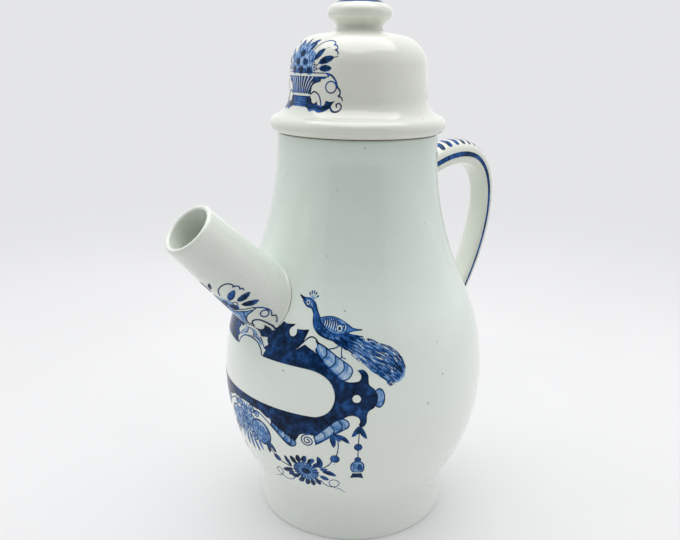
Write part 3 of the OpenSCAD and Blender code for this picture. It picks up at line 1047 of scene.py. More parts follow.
def paint_cartouche():
    """Dark strapwork round a bare label, with rolled ends and cut-out curls."""
    art = Canvas((0, 70), (54, 115), 0.4)
    art.fill(
        "dark", *corner(-2, 94.4), *corner(9.6, 94.6), (11.6, 98.2), (10.8, 99.6), *corner(12.8, 101),
        (11.4, 103), (12.2, 105), (9, 106.4), *corner(6.4, 107.4), (10, 108.6), (14, 109), (17, 110.2),
        *corner(18.6, 112.3), (21, 111.7), *corner(25.8, 112.3), (24.2, 110.4), (27, 110.4), (29.6, 110.5),
        *corner(33.2, 111), (31.8, 107.6), (31.2, 105.8), (33.2, 104.2), (36, 103), (39, 101), (43, 97.5),
        (47, 93.8), (50, 91.8), (53, 91), (56, 91.4), (57.4, 92.8), (57.4, 94.6), *corner(56, 96),
        (58.6, 96.4), (60.6, 94.4), (60.9, 91.6), (61.3, 89.8), (63.4, 88), (64.7, 85.4), (64.7, 82.4),
        (63.4, 79.8), (61.2, 78.2), (60.4, 76), (60.3, 73), (59.4, 71.2), *corner(58, 70.4), (57, 72),
        (57, 74.4), (55, 76), (52.4, 75.6), (50, 73.8), (46, 70.2), (42, 66.8), (38.6, 64.6), (35, 64.8),
        (31.8, 64), (30.2, 61.6), (28.8, 59.6), (26, 61.2), (22, 63.4), (18.4, 65.8), (14, 67.4), (10, 69),
        (5, 70), *corner(-2, 70.4),
    )
    label = area([
        *corner(-2, 95.2), (15, 95.2), (30, 95), (37, 94.5), (42, 92.7), (45.4, 89.4), (46.9, 84.6),
        (46, 79.8), (43.6, 76.3), (40, 74.3), (36, 73.8), (18, 74), *corner(-2, 74.3),
    ])
    art.leave(label)
    cut_outs = ((25, 109.1, 2.0), (55.6, 93.4, 2.2), (56, 83.8, 1.8), (55.2, 73.4, 2.4), (15.6, 66.2, 1.4))
    for u, v, r in cut_outs:
        art.leave(oval((u, v), r))
    upper_roll = (
        *corner(37.4, 106.6), (42, 104.7), (47, 101.5), (52.4, 98.2), (54, 96), (53.2, 93.4), (51, 91.8),
        (48.6, 92.2), (46, 94.4), (42, 97.8), (38.4, 101.6), (37, 104.2),
    )
    right_roll = (
        *corner(38.2, 64), (42.6, 68.5), (47, 72.8), (50.4, 74.3), (52.7, 73), (52.8, 70.6), (50, 68.5),
        (45.6, 65.3), (41, 61.6), *corner(38.8, 60.2),
    )
    left_roll = (
        *corner(17.4, 66.2), (22.4, 63.6), (27.2, 61), (29.3, 59.2), (28.7, 57.1), (26.4, 56.3),
        (23.4, 58.1), (20, 61.2), *corner(16.6, 64.2),
    )
    upper_bands = (
        ((41.8, 105.2), (42.5, 102), (39.8, 99.1)),
        ((46, 102.6), (46.6, 99), (43.4, 96)),
        ((49.8, 100.3), (50.4, 96.4), (47, 93)),
    )
    right_bands = (
        ((41.2, 67.6), (43.1, 65.2), (42, 62.2)),
        ((44.8, 71.2), (46.9, 68.8), (46, 65.3)),
        ((48.2, 73.8), (50.2, 71.2), (49.2, 67.6)),
    )
    left_bands = (
        ((20.6, 65), (21, 62.8), (19.2, 61.4)),
        ((23.8, 63.2), (24.2, 60.6), (22.2, 58.6)),
        ((26.6, 61.7), (27, 58.8), (25, 56.7)),
    )
    for roll, bands in ((upper_roll, upper_bands), (right_roll, right_bands), (left_roll, left_bands)):
        inside = area(roll)
        art.leave(inside)
        art.paint("pale", inside)
        art.paint("wash", within(inside, stroke(roll[-5:], 3.2)))
        art.paint("mid", within(inside, stroke(roll[-5:], 1.5)))
        for band in bands:
            art.paint("wash", within(inside, stroke([(u + 0.7, v - 0.5) for u, v in band], 1.8)))
            art.paint("line", within(inside, stroke(band, 0.55)))
        art.paint("line", stroke(roll, 0.55, closed=True))
    art.leave(oval((35.8, 105), 1.9), stroke([(28, 102.2), (31.4, 105.2), (34.4, 106.6)], (0.3, 1.2, 2)))
    art.draw("line", (0.35, 0.6, 0.5), (28.2, 102.4), (32.4, 107), (35, 108.3), (37.4, 107.3), (38.2, 105.4))
    art.leave(oval((35, 61.4), 3.5), tones=("dark",))
    art.paint("line", spiral((35, 61.4), 3.2, 0.5, 2.1, 80, 0.55))
    art.leave(stroke([(6, 67.4), (9, 69), (12, 68), (15, 66.4)], (0.6, 1.5, 1.1)))
    art.draw("line", (0.4, 0.6, 0.4), (6, 66.6), (8.6, 68.3), (12, 67.2), (16, 64.6))
    art.paint("wash", oval((65.4, 84), 2.3, 4.2))
    art.paint("line", ring((65.4, 84), 2.3, 0.5, 4.2))
    art.draw("line", (0.7, 0.6, 0.6), (9.6, 95.6), (8.6, 98), (5.4, 100.3), (0, 101.2))
    art.draw("line", 0.55, (0, 103.8), (4, 103.4), (7.5, 102.2), (9.4, 100.4), (11, 98.8))
    art.fill("wash", (-2, 103.2), (4, 102.8), (7.6, 101.4), (9, 99.8), (7.4, 100), (4, 101.8), (-2, 102.3))
    painted("cartouche_paint", art, on_jar, "jar")


def plume(q):
    """A line down the peacock's tail, at a share of the way across it."""
    root = (43.5 + 6 * q, 108.4 + 2.4 * q)
    early = (51.6 + 5 * q, 104 + 6 * q)
    middle = (59.4 + 5.8 * q, 98 + 9.4 * q)
    late = (66.8 + 6.8 * q, 92.6 + 10.6 * q)
    tip = (72.2 + 6 * q - 5 * (q - 0.6) ** 2, 88.6 + 7.8 * q)
    return smooth([root, early, middle, late, tip], steps=12)


def paint_peacocks():
    """A peacock on each upper roll, with a ribbed wing and a long tail of loose brush marks."""
    art = Canvas((22, 81), (86, 128), 0.32)
    brush = np.random.default_rng(5)
    head_and_breast = (
        *corner(24.6, 124), (27.6, 123.4), (30, 123.2), (33, 122.2), (35, 119.8), (36.2, 117.4),
        (37.8, 115.8), (40.5, 113.8), (44, 111.6), (49, 110.8), (53, 110.6), (52, 106.6), (47.6, 107.2),
        (43, 108), (39, 108.9), (36.4, 110.6), (34.6, 112.8), (34, 115.4), (33.6, 117.6), (32.4, 119.2),
        (30, 119.7), (27.6, 120.9), (26.6, 122.4),
    )
    for tone in ("wash", "mid"):
        art.fill(tone, *head_and_breast)
    art.fill(
        "wash", (45, 109), (52, 110), (58.6, 108.8), (65, 106.8), (70.4, 104), (74.2, 100.2), (76.6, 96.6),
        (77, 93.6), (75.2, 91.2), (72.4, 90.2), (69, 91.6), (65.4, 94.4), (61, 97.8), (56.2, 101.4),
        (51.6, 104.8), (47.4, 107.4),
    )
    # Tone, number, width, and length as a share of the tail. Thin and bare marks take paint away again
    marks = (
        ("mid", 260, 0.9, 0.10),
        ("line", 100, 0.7, 0.06),
        ("thin", 100, 0.36, 0.09),
        ("bare", 55, 0.3, 0.07),
        ("dark", 16, 0.6, 0.05),
    )
    for tone, count, width, length in marks:
        for _ in range(count):
            line = plume(brush.uniform(0, 1))
            start = brush.uniform(0.22 if tone in ("thin", "bare") else 0.05, 0.98 - length)
            stop = start + length * brush.uniform(0.7, 1.5)
            run = line[int(start * len(line)):int(stop * len(line)) + 2]
            mark = stroke(run, (0.15, width, 0.8 * width, 0.15), curved=False)
            if tone == "thin":
                art.leave(mark, tones=("mid", "line"))
            elif tone == "bare":
                art.leave(mark)
            else:
                art.paint(tone, mark)
    for k in range(15):
        line = plume(k / 14)
        end = line[-8:] + brush.uniform(0, 0.8, 2) * (0.5, -0.9)
        art.paint("mid", stroke(end, (0.4, 0.35, 0.15), curved=False))
    for _ in range(26):
        u = brush.uniform(36.5, 47)
        v = 112.6 - 0.36 * (u - 36.5) + brush.uniform(-2, 1.2)
        art.leave(stroke([(u, v), (u + 1.6, v - 0.7)], (0.1, 0.4, 0.1)), tones=("mid",))
    art.draw("dark", (0.5, 1.2, 1.3), (24.6, 123.9), (26.2, 123.1), (28, 122.4))
    art.draw("line", (0.4, 0.8, 0.4), (26.8, 122), (28, 121), (30, 119.9), (32.4, 119.4), (33.8, 117.4))
    art.draw("line", (0.8, 0.7, 0.9, 0.6), (28, 123), (31, 123), (34, 121.4), (35.6, 118.6), (37.8, 115.8))
    art.draw(
        "line", (0.3, 0.5, 0.7, 0.8, 0.4), (33.8, 117.4), (34.3, 114.4), (35.6, 111.8), (38.4, 109.6),
        (43, 108.2), (48, 107.2),
    )
    art.leave(
        ring((30, 121.4), 0.8, 0.4), stroke([(31.9, 121.2), (32.6, 120)], 0.35),
        tones=("mid", "line", "wash"),
    )
    art.paint("dark", oval((30, 121.4), 0.45))
    for tip in ((30, 125.2), (31.1, 126), (32.5, 126.1), (33.8, 125.6), (34.9, 124.4)):
        near = (32.2 + (tip[0] - 32.2) * 0.7, 123 + (tip[1] - 123) * 0.65)
        art.paint("wash", stroke([(32.2 + (tip[0] - 32.2) * 0.2, 123), near], 0.3))
        art.draw("line", (0.4, 0.85), near, tip)
    wing = (
        (37.6, 115.6), (40, 116.7), (44, 117), (48, 116), (51.4, 114.4), (54, 112.9), *corner(57.6, 112.4),
        (54, 111.9), (50.6, 110.9), (46, 110.4), (42.4, 111.3), (39.6, 113.3),
    )
    art.leave(area(wing))
    art.fill("wash", *wing)
    art.fill("mid", (49.6, 114.6), (52, 113.8), (54, 112.9), *corner(57.6, 112.4), (54, 111.9), (50, 111))
    rib_tops = (115.8, 116.3, 116.5, 116.6, 116.5, 116.3, 116, 115.5, 115, 114.6)
    for k, top in enumerate(rib_tops):
        u = 39.2 + 1.1 * k
        foot = 113.2 - 0.36 * k if k < 6 else 111.5
        rib = [(u, top), (u + 0.75, (top + foot) / 2 + 0.3), (u + 0.2, foot)]
        art.draw("mid", (0.5, 0.8, 0.5), *rib)
        art.leave(stroke([(a + 0.6, b) for a, b in rib], (0.15, 0.55, 0.3)), tones=("wash", "mid"))
    art.paint("line", stroke(wing, 0.42, closed=True))
    art.leave(oval((47.6, 112.7), 1.45))
    art.paint("mid", ring((47.6, 112.7), 1.5, 0.35))
    art.paint("dark", oval((47.6, 112.6), 0.75))
    art.draw("line", (0.7, 0.45, 0.55), (49.6, 107), (49, 104.2), (49.3, 101.2))
    art.draw("line", (0.6, 0.45, 0.45), (48.4, 106.4), (46.2, 104.9), (43.6, 104.3))
    art.draw("line", 0.4, (47.6, 100.4), (49.3, 101.2), (51, 100.6))
    painted("peacock_paint", art, on_jar, "jar", 0.03)


def paint_pendants():
    """Tassels and beads that hang from the strapwork."""
    art = Canvas((42, 63), (40, 74), 0.3)
    art.paint(
        "line", leaf((57.2, 71.2), (54.2, 65.6), 2.2, 0.5), leaf((57.8, 71.2), (60.8, 64.6), 2.2, -0.5),
    )
    art.paint("mid", leaf((57.5, 71), (57.4, 67), 1.4))
    art.paint("line", stroke([(57.3, 68), (57.2, 62)], 0.4), stroke([(57.1, 58.8), (57.1, 54.6)], 0.4))
    art.paint("mid", oval((57.1, 60.3), 1.7))
    art.paint("line", ring((57.1, 60.3), 1.6, 0.4))
    art.paint("line", oval((57.1, 53.4), 1.5))
    bell = (
        (58.2, 52.2), (56, 52.2), (54.6, 51), (54.1, 48.8), (54.8, 46.4), (57, 46), (59.4, 46.4), (60, 48.8),
        (59.5, 51),
    )
    art.fill("wash", *bell)
    art.paint("line", stroke(bell, 0.55, closed=True))
    art.fill("line", (57.4, 50.6), (59, 50.2), (59.2, 47.4), (57.3, 47.2))
    art.draw("mid", 0.5, (55.6, 50.6), (55.4, 47))
    skirt = (
        *corner(55, 45.3), (57, 45), *corner(59, 45.3), *corner(60.1, 42), (57, 42.5), *corner(53.9, 42.2),
    )
    art.fill("dark", *skirt)
    art.paint("line", leaf((45.4, 66.4), (46.6, 59.4), 2.6, 0.3), leaf((46.6, 66.2), (53.4, 62), 2.3, 0.8))
    art.paint("mid", leaf((45.8, 66), (49.8, 63), 1.8))
    art.draw("line", 0.45, (48.4, 63.6), (48.6, 60), (47.8, 55))
    art.paint("mid", oval((47, 53.2), 2.05))
    art.paint("line", ring((47, 53.2), 1.95, 0.4))
    art.draw("line", 0.45, (45.6, 51.8), (44.4, 49.6), (42.4, 47.8))
    painted("pendant_paint", art, on_jar, "jar", 0.015)


def blossom(art, centre, across, up, petal_angles):
    """An open flower: a pale disc with a dark heart, ringed by broad petals with slits between them."""
    middle = np.array(centre, float)
    spread = np.array([across, up])

    def out(angle, share):
        a = math.radians(angle)
        return middle + spread * share * np.array([math.cos(a), math.sin(a)])

    art.paint("wash", oval(centre, across, up))
    for k in range(20):
        art.draw("mid", (0.4, 0.75, 0.5), out(18 * k + 5, 0.45), out(18 * k + 5, 1.0))
        art.draw("line", 0.45, out(18 * k + 14, 0.9), out(18 * k + 5, 1.04))
    for angle in petal_angles:
        art.paint("line", leaf(out(angle, 0.96), out(angle - 9, 1.74), 2.7, 0.3))
        art.paint("dark", leaf(out(angle + 2, 1.1), out(angle - 4, 1.6), 1.5, 0.2))
    art.leave(oval(centre, 0.50 * across, 0.44 * up), tones=("mid",))
    art.paint("mid", oval(centre, 0.42 * across, 0.38 * up))
    art.paint("dark", oval(centre, 0.34 * across, 0.30 * up))


def paint_flowers():
    """A flower on each side below the strapwork, with leaves, a bead and curling tendrils."""
    art = Canvas((8, 54), (28, 57), 0.32)
    blossom(art, (32.4, 43), 6.4, 5.4, (48, 72, 94, 114, 136, 226, 250, 272, 292, 314))
    art.paint("line", leaf((39.6, 46.4), (39, 53.4), 2.9, -0.7), leaf((40.6, 44.6), (47.4, 42.6), 2.8, 0.6))
    art.paint("line", leaf((39.4, 41.4), (43.6, 39.6), 2.6), leaf((25.4, 42.4), (18.8, 39.6), 2.9, 0.4))
    art.paint("line", leaf((25.2, 44), (22.2, 49.8), 2.3, 0.4), leaf((25.6, 40.6), (21.8, 37.2), 2))
    art.paint(
        "dark", leaf((41, 44.6), (46, 43), 1.3), leaf((25, 42.2), (20, 40), 1.4),
        leaf((39.6, 47), (39.4, 52), 1.3),
    )
    art.paint("mid", leaf((39.6, 45.4), (43.6, 46.6), 1.5))
    art.draw("line", 0.45, (44, 49.2), (42.6, 47.9), (40.4, 46.4))
    art.draw("line", (0.7, 0.5, 0.5), (24.6, 43.6), (20.6, 44.6), (17.4, 46.4), (14.2, 50.2))
    art.paint("mid", oval((17.4, 46.4), 1.9, 1.4, 2.4))
    art.paint("line", ring((17.4, 46.4), 1.9, 0.4, 1.4, 2.4))
    right_curl = (
        (39.4, 38.6), (41, 36.4), (44, 34.9), (47, 35.6), (48.6, 37.8), (47.4, 39.8), (45, 39.8), (43.6, 38),
        (44, 36), (46, 34.6), (48.6, 34), (50, 32.6), (52, 31.6),
    )
    left_curl = (
        (26, 37.8), (24, 35.2), (21, 33.6), (17.6, 34.2), (15, 36.2), (14.6, 38.4), (16.4, 39.9), (18, 38.6),
        (17.4, 36), (15, 33.8), (12.4, 32.6), (9.8, 31.6),
    )
    for curl in (right_curl, left_curl):
        art.draw("line", (0.5, 0.38, 0.42, 0.25), *curl)
    painted("flower_paint", art, on_jar, "jar")


def paint_fruit():
    """A bunch of fruit and flowers under the middle of the strapwork."""
    art = Canvas((0, 20), (40, 72), 0.35)
    for k in range(9):
        a = math.radians(40 * k + 20)
        lobe = (4.6 * math.cos(a), 61 + 4.8 * math.sin(a))
        art.paint("pale", oval(lobe, 2.3))
        art.paint("mid", ring(lobe, 2.2, 0.5))
        art.paint("wash", leaf((1.6 * math.cos(a), 61 + 1.6 * math.sin(a)), lobe, 1.1))
    art.paint("wash", oval((0, 61), 2.6))
    art.paint("mid", oval((0, 61), 1.5))
    fruit = (
        (5.2, 62.4), (9.4, 64.2), (13.8, 62.2), (15.6, 57.8), (14, 53.2), (9.8, 51.4), (5.8, 53.4),
        (4.2, 58),
    )
    art.leave(area(fruit))
    art.fill("wash", *fruit)
    art.paint("line", stroke(fruit, 0.75, closed=True))
    brush = np.random.default_rng(3)
    for _ in range(46):
        u, v = brush.uniform(5.4, 14.6), brush.uniform(52.6, 63)
        if math.hypot((u - 10) / 4.8, (v - 57.8) / 5.3) < 1:
            art.draw("mid", (0.3, 0.6, 0.3), (u, v), (u + 0.7, v - 0.6))
    art.leave(
        stroke([(7, 62.4), (10, 63.2), (12.8, 61.2), (13.7, 57.4)], (0.2, 0.7, 0.2)), tones=("wash", "mid"),
    )
    art.paint("line", leaf((13.4, 54.4), (17.4, 48.8), 2.3, 0.3), leaf((13.2, 54), (12.8, 47.2), 2.5, 0.3))
    for u, v, r in ((4.4, 68, 1.9), (8, 67, 1.5), (3.8, 53, 2.2)):
        art.paint("pale", oval((u, v), r))
        art.paint("line", ring((u, v), r, 0.5))
        art.paint("mid", oval((u, v), 0.4 * r))
    art.paint("mid", leaf((0, 54.6), (0, 43.4), 2.4), leaf((2.6, 51.4), (4.6, 44.2), 2.1, 0.3))
    art.paint("wash", leaf((7, 52.6), (8.4, 46.4), 2, -0.4), leaf((0.6, 66.4), (1.4, 70), 1.3))
    painted("fruit_paint", art, on_jar, "jar", 0.015)


def paint_spout():
    """A small basket of fruit on the underside of the spout, on a scroll that runs on to the strapwork."""
    art = Canvas((0, 25), (-16, 32), 0.22)
    art.fill("wash", (-2, 11.8), (6.6, 12), (8.2, 14.4), (6.6, 17.6), (3.8, 20.4), (-2, 21.8))
    for u, v, r in ((3, 17.2, 1.5), (5.6, 13.7, 1.8), (0, 14.3, 1.8), (0, 20, 1.3)):
        art.paint("mid", oval((u, v), r + 0.5))
        art.paint("dark", oval((u, v), r))
    art.leave(oval((8, 15.6), 1.1))
    art.paint("line", ring((8, 15.6), 1.1, 0.4))
    art.paint("line", leaf((6.8, 18.4), (13.2, 22.6), 3.1, 0.3), leaf((9.8, 16.7), (17.2, 17.1), 3))
    art.paint(
        "line", leaf((10, 14.2), (17.2, 11), 3, -0.2), leaf((2.4, 26.6), (6, 31), 1.8),
        leaf((0, 24), (0, 31), 1.8),
    )
    art.paint("dark", leaf((10.6, 16.8), (16, 17), 1.5), leaf((10.4, 14), (16, 11.6), 1.5))
    arch = (
        (4.8, 22.6), (6.4, 25.4), (9, 27.2), (11.8, 27.6), (13.8, 26.4), (14.3, 24.8), (13.7, 24.3),
        (14.9, 23.9), (15.7, 22.6), (15.1, 21.5), (16.1, 21), (16, 19.9),
    )
    art.draw("line", 0.55, *arch)
    art.draw("line", 0.42, (0, 12), (6, 11.8), (12.6, 9.9), (13.1, 9.1), (12.5, 8.5), (6, 10.4), (0, 10.7))
    art.fill(
        "wash", *corner(-2, 10.5), (6, 10.2), *corner(11.6, 8.4), (8.4, 7.4), (6, 5.4), (4.6, 3),
        *corner(4.2, 1.5), *corner(-2, 1.5),
    )
    art.draw("line", 0.6, (12.2, 8.5), (8.4, 7.4), (6, 5.4), (4.6, 3), (4.4, 1.5), (5.4, 0.9))
    art.draw("mid", (0.9, 0.5), (0, 10.5), (0, 1.5))
    art.draw("mid", (0.9, 0.5), (2.4, 10.4), (1.5, 1.5))
    art.draw("mid", (0.9, 0.5), (4.8, 10.2), (2.8, 1.5))
    art.draw("mid", (0.9, 0.5), (7.6, 9.6), (3.8, 2))
    art.draw("line", 0.45, (0, 0.4), (3, 0.4), (5, -0.6))
    art.fill(
        "dark", *corner(4.6, 0), (5.2, -2.2), (6.6, -3.6), (8.2, -3.8), (9.4, -3.1), *corner(10, -1.7),
        (11.2, -4), (12.8, -5.4), (14.6, -6), *corner(17.6, -5.4), *corner(17.6, -8.6), (14, -10),
        *corner(10.4, -10.6), (8.8, -7.8), (7.2, -6.4), (5.4, -4.4),
    )
    art.draw(
        "line", 0.75, (5.4, -1), (6.5, 1.8), (8.6, 3), (10.7, 1.8), (11.8, -0.8), (12.6, -3.4), (14.4, -6),
    )
    art.draw("pale", (0.4, 1.5, 0.6), (1.2, -1.6), (2.8, -4.4), (4.6, -7.2))
    art.draw("mid", (0.4, 0.6, 0.4), (0, -3.4), (1.6, -4.6), (3, -7), (5.4, -9.4))
    art.paint("line", ring((14.4, 3.7), 1.8, 0.55))
    scroll = (
        (13, 9.4), (15.2, 7.5), (16.6, 5), (17, 2.6), (16, 0.9), (16, 0.2), (16.9, -0.6), (16.5, -2.2),
        (15.3, -3.4),
    )
    art.draw("line", (0.6, 0.6, 0.45), *scroll)
    painted("spout_paint", art, on_spout, "jar", 0.09)


def paint_crease():
    """A hairline in the glaze where the spout was luted to the wall, on both sides of the spout."""
    art = Canvas((12, 26), (106, 134), 0.2)
    line = ((14.8, 129.4), (17, 126.9), (18.9, 124), (19.7, 121), (19.8, 118), (19.3, 115.4), (18.5, 113))
    art.draw("line", (0.1, 0.25, 0.4, 0.45, 0.45, 0.4), *line)
    painted("spout_crease", art, on_jar, "jar", 0.02, HAIRLINE)


def paint_lid():
    """A basket of flowers on the front of the lid, on a scrolled stand."""
    art = Canvas((0, 24), (199.6, 231.2), 0.28)
    heads = (
        (5.8, 217.9, 1.5), (0, 218, 1.4), (3, 221.3, 1.5), (0, 224.8, 1.5), (6.3, 222.4, 0), (3.2, 226, 0),
    )
    for u, v, _ in heads:
        art.paint("pale", oval((u, v + 0.5), 2.8, 2.7))
        art.paint("wash", oval((u, v - 0.2), 1.9, 2))
    for u, v, r in heads:
        art.draw("mid", (0.3, 0.9), (u - 1.5, v + 1.8), (u - 0.6, v - 1))
        art.draw("mid", (0.3, 0.9), (u + 1.6, v + 2), (u + 0.7, v - 1))
        if r:
            art.paint("dark", oval((u, v - 0.2), 1.15 * r, 0.9 * r))
    art.fill("mid", (-2, 216.5), (7.4, 216.5), (7.2, 217.3), (4.4, 217), (2.6, 218.4), (-2, 217))
    for u, v in ((8.2, 220.6), (9.2, 219.6), (8.6, 218.4), (9.6, 218.2), (8.4, 217.2)):
        art.leave(oval((u, v), 0.55))
        art.paint("line", ring((u, v), 0.55, 0.25))
    art.paint(
        "line", leaf((8.2, 221.8), (13.2, 226.6), 2.6, 0.2), leaf((10.8, 220.6), (18.4, 223.2), 3.1, 0.2),
    )
    art.paint("line", leaf((11.2, 218.5), (17.4, 218.7), 2.9))
    art.paint("dark", leaf((11.6, 220.8), (17.4, 222.8), 1.6), leaf((11.8, 218.4), (16.8, 218.6), 1.5))
    art.paint("line", stroke([(9.6, 219.4), (11.4, 220.9)], 0.35), stroke([(9.8, 218.2), (12, 218.5)], 0.35))
    art.paint(
        "line", stroke([(12.8, 226.2), (14.2, 227), (16, 227.2)], 0.22),
        stroke([(18.2, 223.1), (20, 223.6)], 0.3),
    )
    art.paint(
        "line", leaf((2.6, 227.6), (7.8, 230.2), 1.6, 0.2), leaf((0, 227), (0, 230.8), 1.8),
        leaf((4.6, 226), (7, 228.8), 1.5),
    )
    arch = (
        (5.8, 224.4), (7.4, 226.8), (10, 228.8), (13.4, 229.8), (16.4, 229.6), (17.6, 228.6), (16.8, 228.2),
        (18.6, 227.8), (19.2, 226.6), (18.2, 226.1), (19.4, 225.5), (19.8, 224.4),
    )
    art.draw("line", (0.25, 0.35, 0.6), *arch)
    art.draw("line", 0.42, (0, 216.5), (15, 216.6), (15.7, 215.9), (14.8, 215.1), (0, 215))
    basket = (
        *corner(-2, 214.9), *corner(14.4, 214.9), (11.4, 214.5), (9, 213.3), (7.6, 211.4), (7, 209.4),
        *corner(6.8, 207.9), *corner(-2, 207.9),
    )
    art.fill("mid", *basket)

    def rib(top, foot):
        drop = 214.8 - 0.05 * max(0, top - 7) ** 2
        return (top, drop), (0.4 * top + 0.6 * foot, 212), (foot, 208)

    for ends in ((1.1, 0.55), (3.3, 1.7), (5.6, 2.8), (8, 3.9), (10.4, 5.1)):
        art.leave(stroke(rib(*ends), (0.55, 0.4, 0.25)))
    for ends in ((0, 0), (2.2, 1.1), (4.4, 2.2), (6.6, 3.3), (9.2, 4.5), (12, 5.7)):
        art.draw("line", (0.9, 0.6, 0.45), *rib(*ends))
    art.draw(
        "line", (1, 0.7, 0.7), (14.4, 214.8), (11.4, 214.4), (9, 213.2), (7.6, 211.4), (7, 209.4),
        (6.8, 207.9),
    )
    art.draw("line", 0.55, (0, 206.6), (7, 206.7))
    foot = area([*corner(-2, 206.4), *corner(7, 206.4), (6.6, 204.4), *corner(7, 202.2), *corner(-2, 202.5)])
    art.paint("mid", foot)
    for v in (205.6, 204.5, 203.4):
        art.draw("line", (0.3, 0.6, 0.3), (0.4, v), (5.6, v - 0.2))
    art.fill("mid", (6, 202.4), (8, 200.6), (10, 201.2), (12.6, 200.4), (15.6, 201.2), (17, 203), (9, 203.4))
    apron = (
        *corner(5, 206.4), (7.4, 206.2), (8, 204.6), (9.4, 204), *corner(10.7, 205), (11.2, 203.7),
        (12.6, 202.8), (14.2, 203.2), *corner(15.2, 205.4), (17.2, 205), *corner(19.4, 205.5), (18, 203.8),
        (17.4, 202.4), (15.6, 201.9), (13, 201.5), (10.4, 202), (8, 201.6), *corner(5, 202.2),
    )
    art.fill("dark", *apron)
    art.draw(
        "line", (0.9, 0.6, 0.6), (17.2, 202.9), (18.8, 201.1), (21, 201.2), (22.2, 202.9), (21.4, 204.4),
        (20, 204), (20.2, 202.9),
    )
    art.draw("line", 0.6, (7.4, 207.9), (9.2, 208.9), (11.4, 207.8), (12.4, 205.8), (13, 203.4))
    art.paint("line", ring((17.3, 211), 2.4, 0.55))
    scroll = (
        (15.4, 216.4), (17.6, 215.7), (19.4, 213.6), (20.2, 211.2), (21.3, 209.8), (21.4, 208.2),
        (20.7, 207.4), (22.1, 206.9), (22.5, 205.6),
    )
    art.draw("line", (0.9, 0.75, 0.5), *scroll)
    painted("lid_paint", art, on_lid, "lid")


def paint_handle():
    """A line along each side of the handle, and short marks across its crown."""
    side = float(np.interp(math.radians(94), SECTION_TURN, SECTION_RUN))
    lines = Canvas((side - 4, side + 4), (6, 147), 0.3)
    run = (
        (-0.9, 7), (-0.8, 20), (-0.3, 36), (0.5, 52), (0.7, 70), (0.5, 90), (0.3, 110), (0.0, 128),
        (-0.2, 139),
    )
    widths = (1.9, 2.0, 1.9, 1.8, 1.7, 1.6, 1.5, 1.4)
    lines.draw("line", widths, *((side + u, v) for u, v in run))
    painted("handle_line_paint", lines, on_handle, "jar")
    marks = Canvas((-7, 7), (6, 140), 0.3, mirrored=False)
    for k in range(30):
        v = 11 + 4.2 * k
        size = 1 - 0.013 * k
        ends = [(-2 * size, v + 0.4), (5 * size, v - 0.4)]
        marks.draw("line", (1.6 * size, 2.7 * size, 2.2 * size), *ends)
    painted("handle_mark_paint", marks, on_handle, "jar")


def paint_knob():
    """A blue band round the knob's top."""
    def on_knob(u, v):
        return turned(u / KNOB_R, *knob_crown(v))

    points = []
    sides = 120
    turn = np.arange(sides) * 2 * math.pi / sides * KNOB_R
    across = np.linspace(*KNOB_BAND, 7)
    for height, places in ((0.05, across), (-PAINT_SINK, across[::-1])):
        for place in places:
            points.extend(lifted(on_knob, turn, np.full(sides, place), height))
    faces = tube_faces(2 * len(across), sides, closed=True)
    band = piece("knob_paint", points, faces, "lid", (COBALT,))
    count = len(points)
    set_layers(band, shade=np.full(count, 0.34), depth=np.full(count, 0.5))


paint_cartouche()
paint_peacocks()
paint_pendants()
paint_flowers()
paint_fruit()
paint_spout()
paint_crease()
paint_lid()
paint_handle()
paint_knob()


# Floor, light and camera

# The camera as fitted to the photo: its place in millimetres and its angles in degrees
CAMERA_PLACE = (262.0, -219.8, 224.8)
CAMERA_AZIMUTH = 50
CAMERA_DOWN = 16.76
CAMERA_PAN = -1.23
CAMERA_ROLL = -0.79
FOCAL_PIXELS = 720
PHOTO_WIDTH = 680
SENSOR = 36

# The backdrop as the camera sees it. Sizes of the floor and of the light are in metres
BACKDROP = (0.975, 0.98, 1.0)
BACKDROP_LIGHT = 0.80
# Light of the tent's walls, from its back at 0 to the opening round the camera at 1
TENT_LIGHT = 1.02
TENT_WALLS = ((0.45, 1.0), (0.78, 0.55), (0.885, 0.42), (0.905, 0.02))
OPENING_UP = 8
LAMP_POWER = 8.6
LAMP_SIZE = 1.2
LAMP_HEIGHT = 1.1
# Distances between which the floor fades into the backdrop, and its own glow closer in
FLOOR_FADE = (0.22, 0.80)
FLOOR_GLOW = 0.24


def camera():
    data = bpy.data.cameras.new("photo_camera")
    data.sensor_fit = "HORIZONTAL"
    data.sensor_width = SENSOR
    data.lens = FOCAL_PIXELS / PHOTO_WIDTH * SENSOR
    data.clip_start = 0.01
    view = bpy.data.objects.new("photo_camera", data)
    bpy.context.scene.collection.objects.link(view)
    turn = Matrix.Rotation(math.radians(CAMERA_AZIMUTH - CAMERA_PAN), 4, "Z")
    tilt = Matrix.Rotation(math.radians(90 - CAMERA_DOWN), 4, "X")
    roll = Matrix.Rotation(math.radians(-CAMERA_ROLL), 4, "Z")
    view.matrix_world = Matrix.Translation(Vector(CAMERA_PLACE) * MM) @ turn @ tilt @ roll
    bpy.context.scene.camera = view


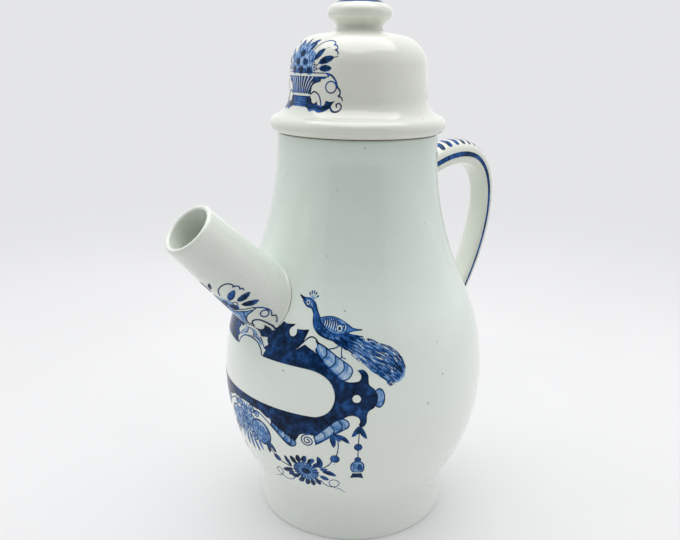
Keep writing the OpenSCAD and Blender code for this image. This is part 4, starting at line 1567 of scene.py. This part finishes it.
def floor():
    """A pale floor whose far reaches take the backdrop's own brightness, so that no edge shows."""
    bpy.ops.mesh.primitive_circle_add(vertices=96, radius=8, fill_type="NGON")
    ground = bpy.context.object
    ground.name = "floor"
    made, look = new_material("pale_floor")
    colour = look.ramp(look.noise(5, 2), (0.4, (0.505, 0.505, 0.502)), (0.6, (0.525, 0.525, 0.522)))
    look.surface({
        "Base Color": colour,
        "Roughness": 0.55,
        "Emission Color": BACKDROP,
        "Emission Strength": FLOOR_GLOW,
    })
    away = look.add("VectorMath", {0: look.place}, operation="LENGTH")["Value"]
    fade = look.spread(away, *FLOOR_FADE, kind="SMOOTHSTEP")
    near = look.nodes["Principled BSDF"].outputs[0]
    far = look.add("Emission", {"Color": BACKDROP, "Strength": BACKDROP_LIGHT})[0]
    join = look.add("MixShader", {0: fade, 1: near, 2: far})[0]
    look.feed(look.nodes["Material Output"], {"Surface": join})
    ground.data.materials.append(made)


def top_lamp():
    """A large soft lamp over the jar that shines straight down."""
    data = bpy.data.lights.new("top_softbox", "AREA")
    data.shape = "RECTANGLE"
    data.size = LAMP_SIZE
    data.size_y = LAMP_SIZE
    data.energy = LAMP_POWER
    lamp = bpy.data.objects.new("top_softbox", data)
    bpy.context.scene.collection.objects.link(lamp)
    lamp.matrix_world = Matrix.Translation((0, 0, LAMP_HEIGHT))


def tent():
    """A light tent: bright walls and roof all round, and a darker opening on the camera's side."""
    world = bpy.data.worlds.new("pale_tent")
    bpy.context.scene.world = world
    look = Shader(world, "Generated")
    a, up = math.radians(CAMERA_AZIMUTH), math.radians(OPENING_UP)
    opening = (math.sin(a) * math.cos(up), -math.cos(a) * math.cos(up), math.sin(up))
    facing = look.add("VectorMath", {0: look.place, 1: opening}, operation="DOT_PRODUCT")["Value"]
    walls = look.spread(look.ramp(look.spread(facing, -1), *TENT_WALLS), last=TENT_LIGHT)
    seen = look.add("LightPath")["Is Camera Ray"]
    light = look.spread(seen, first=walls, last=BACKDROP_LIGHT)
    look.feed(look.nodes["Background"], {"Color": BACKDROP, "Strength": light})


camera()
floor()
top_lamp()
tent()
bpy.context.scene.view_settings.view_transform = "Standard"
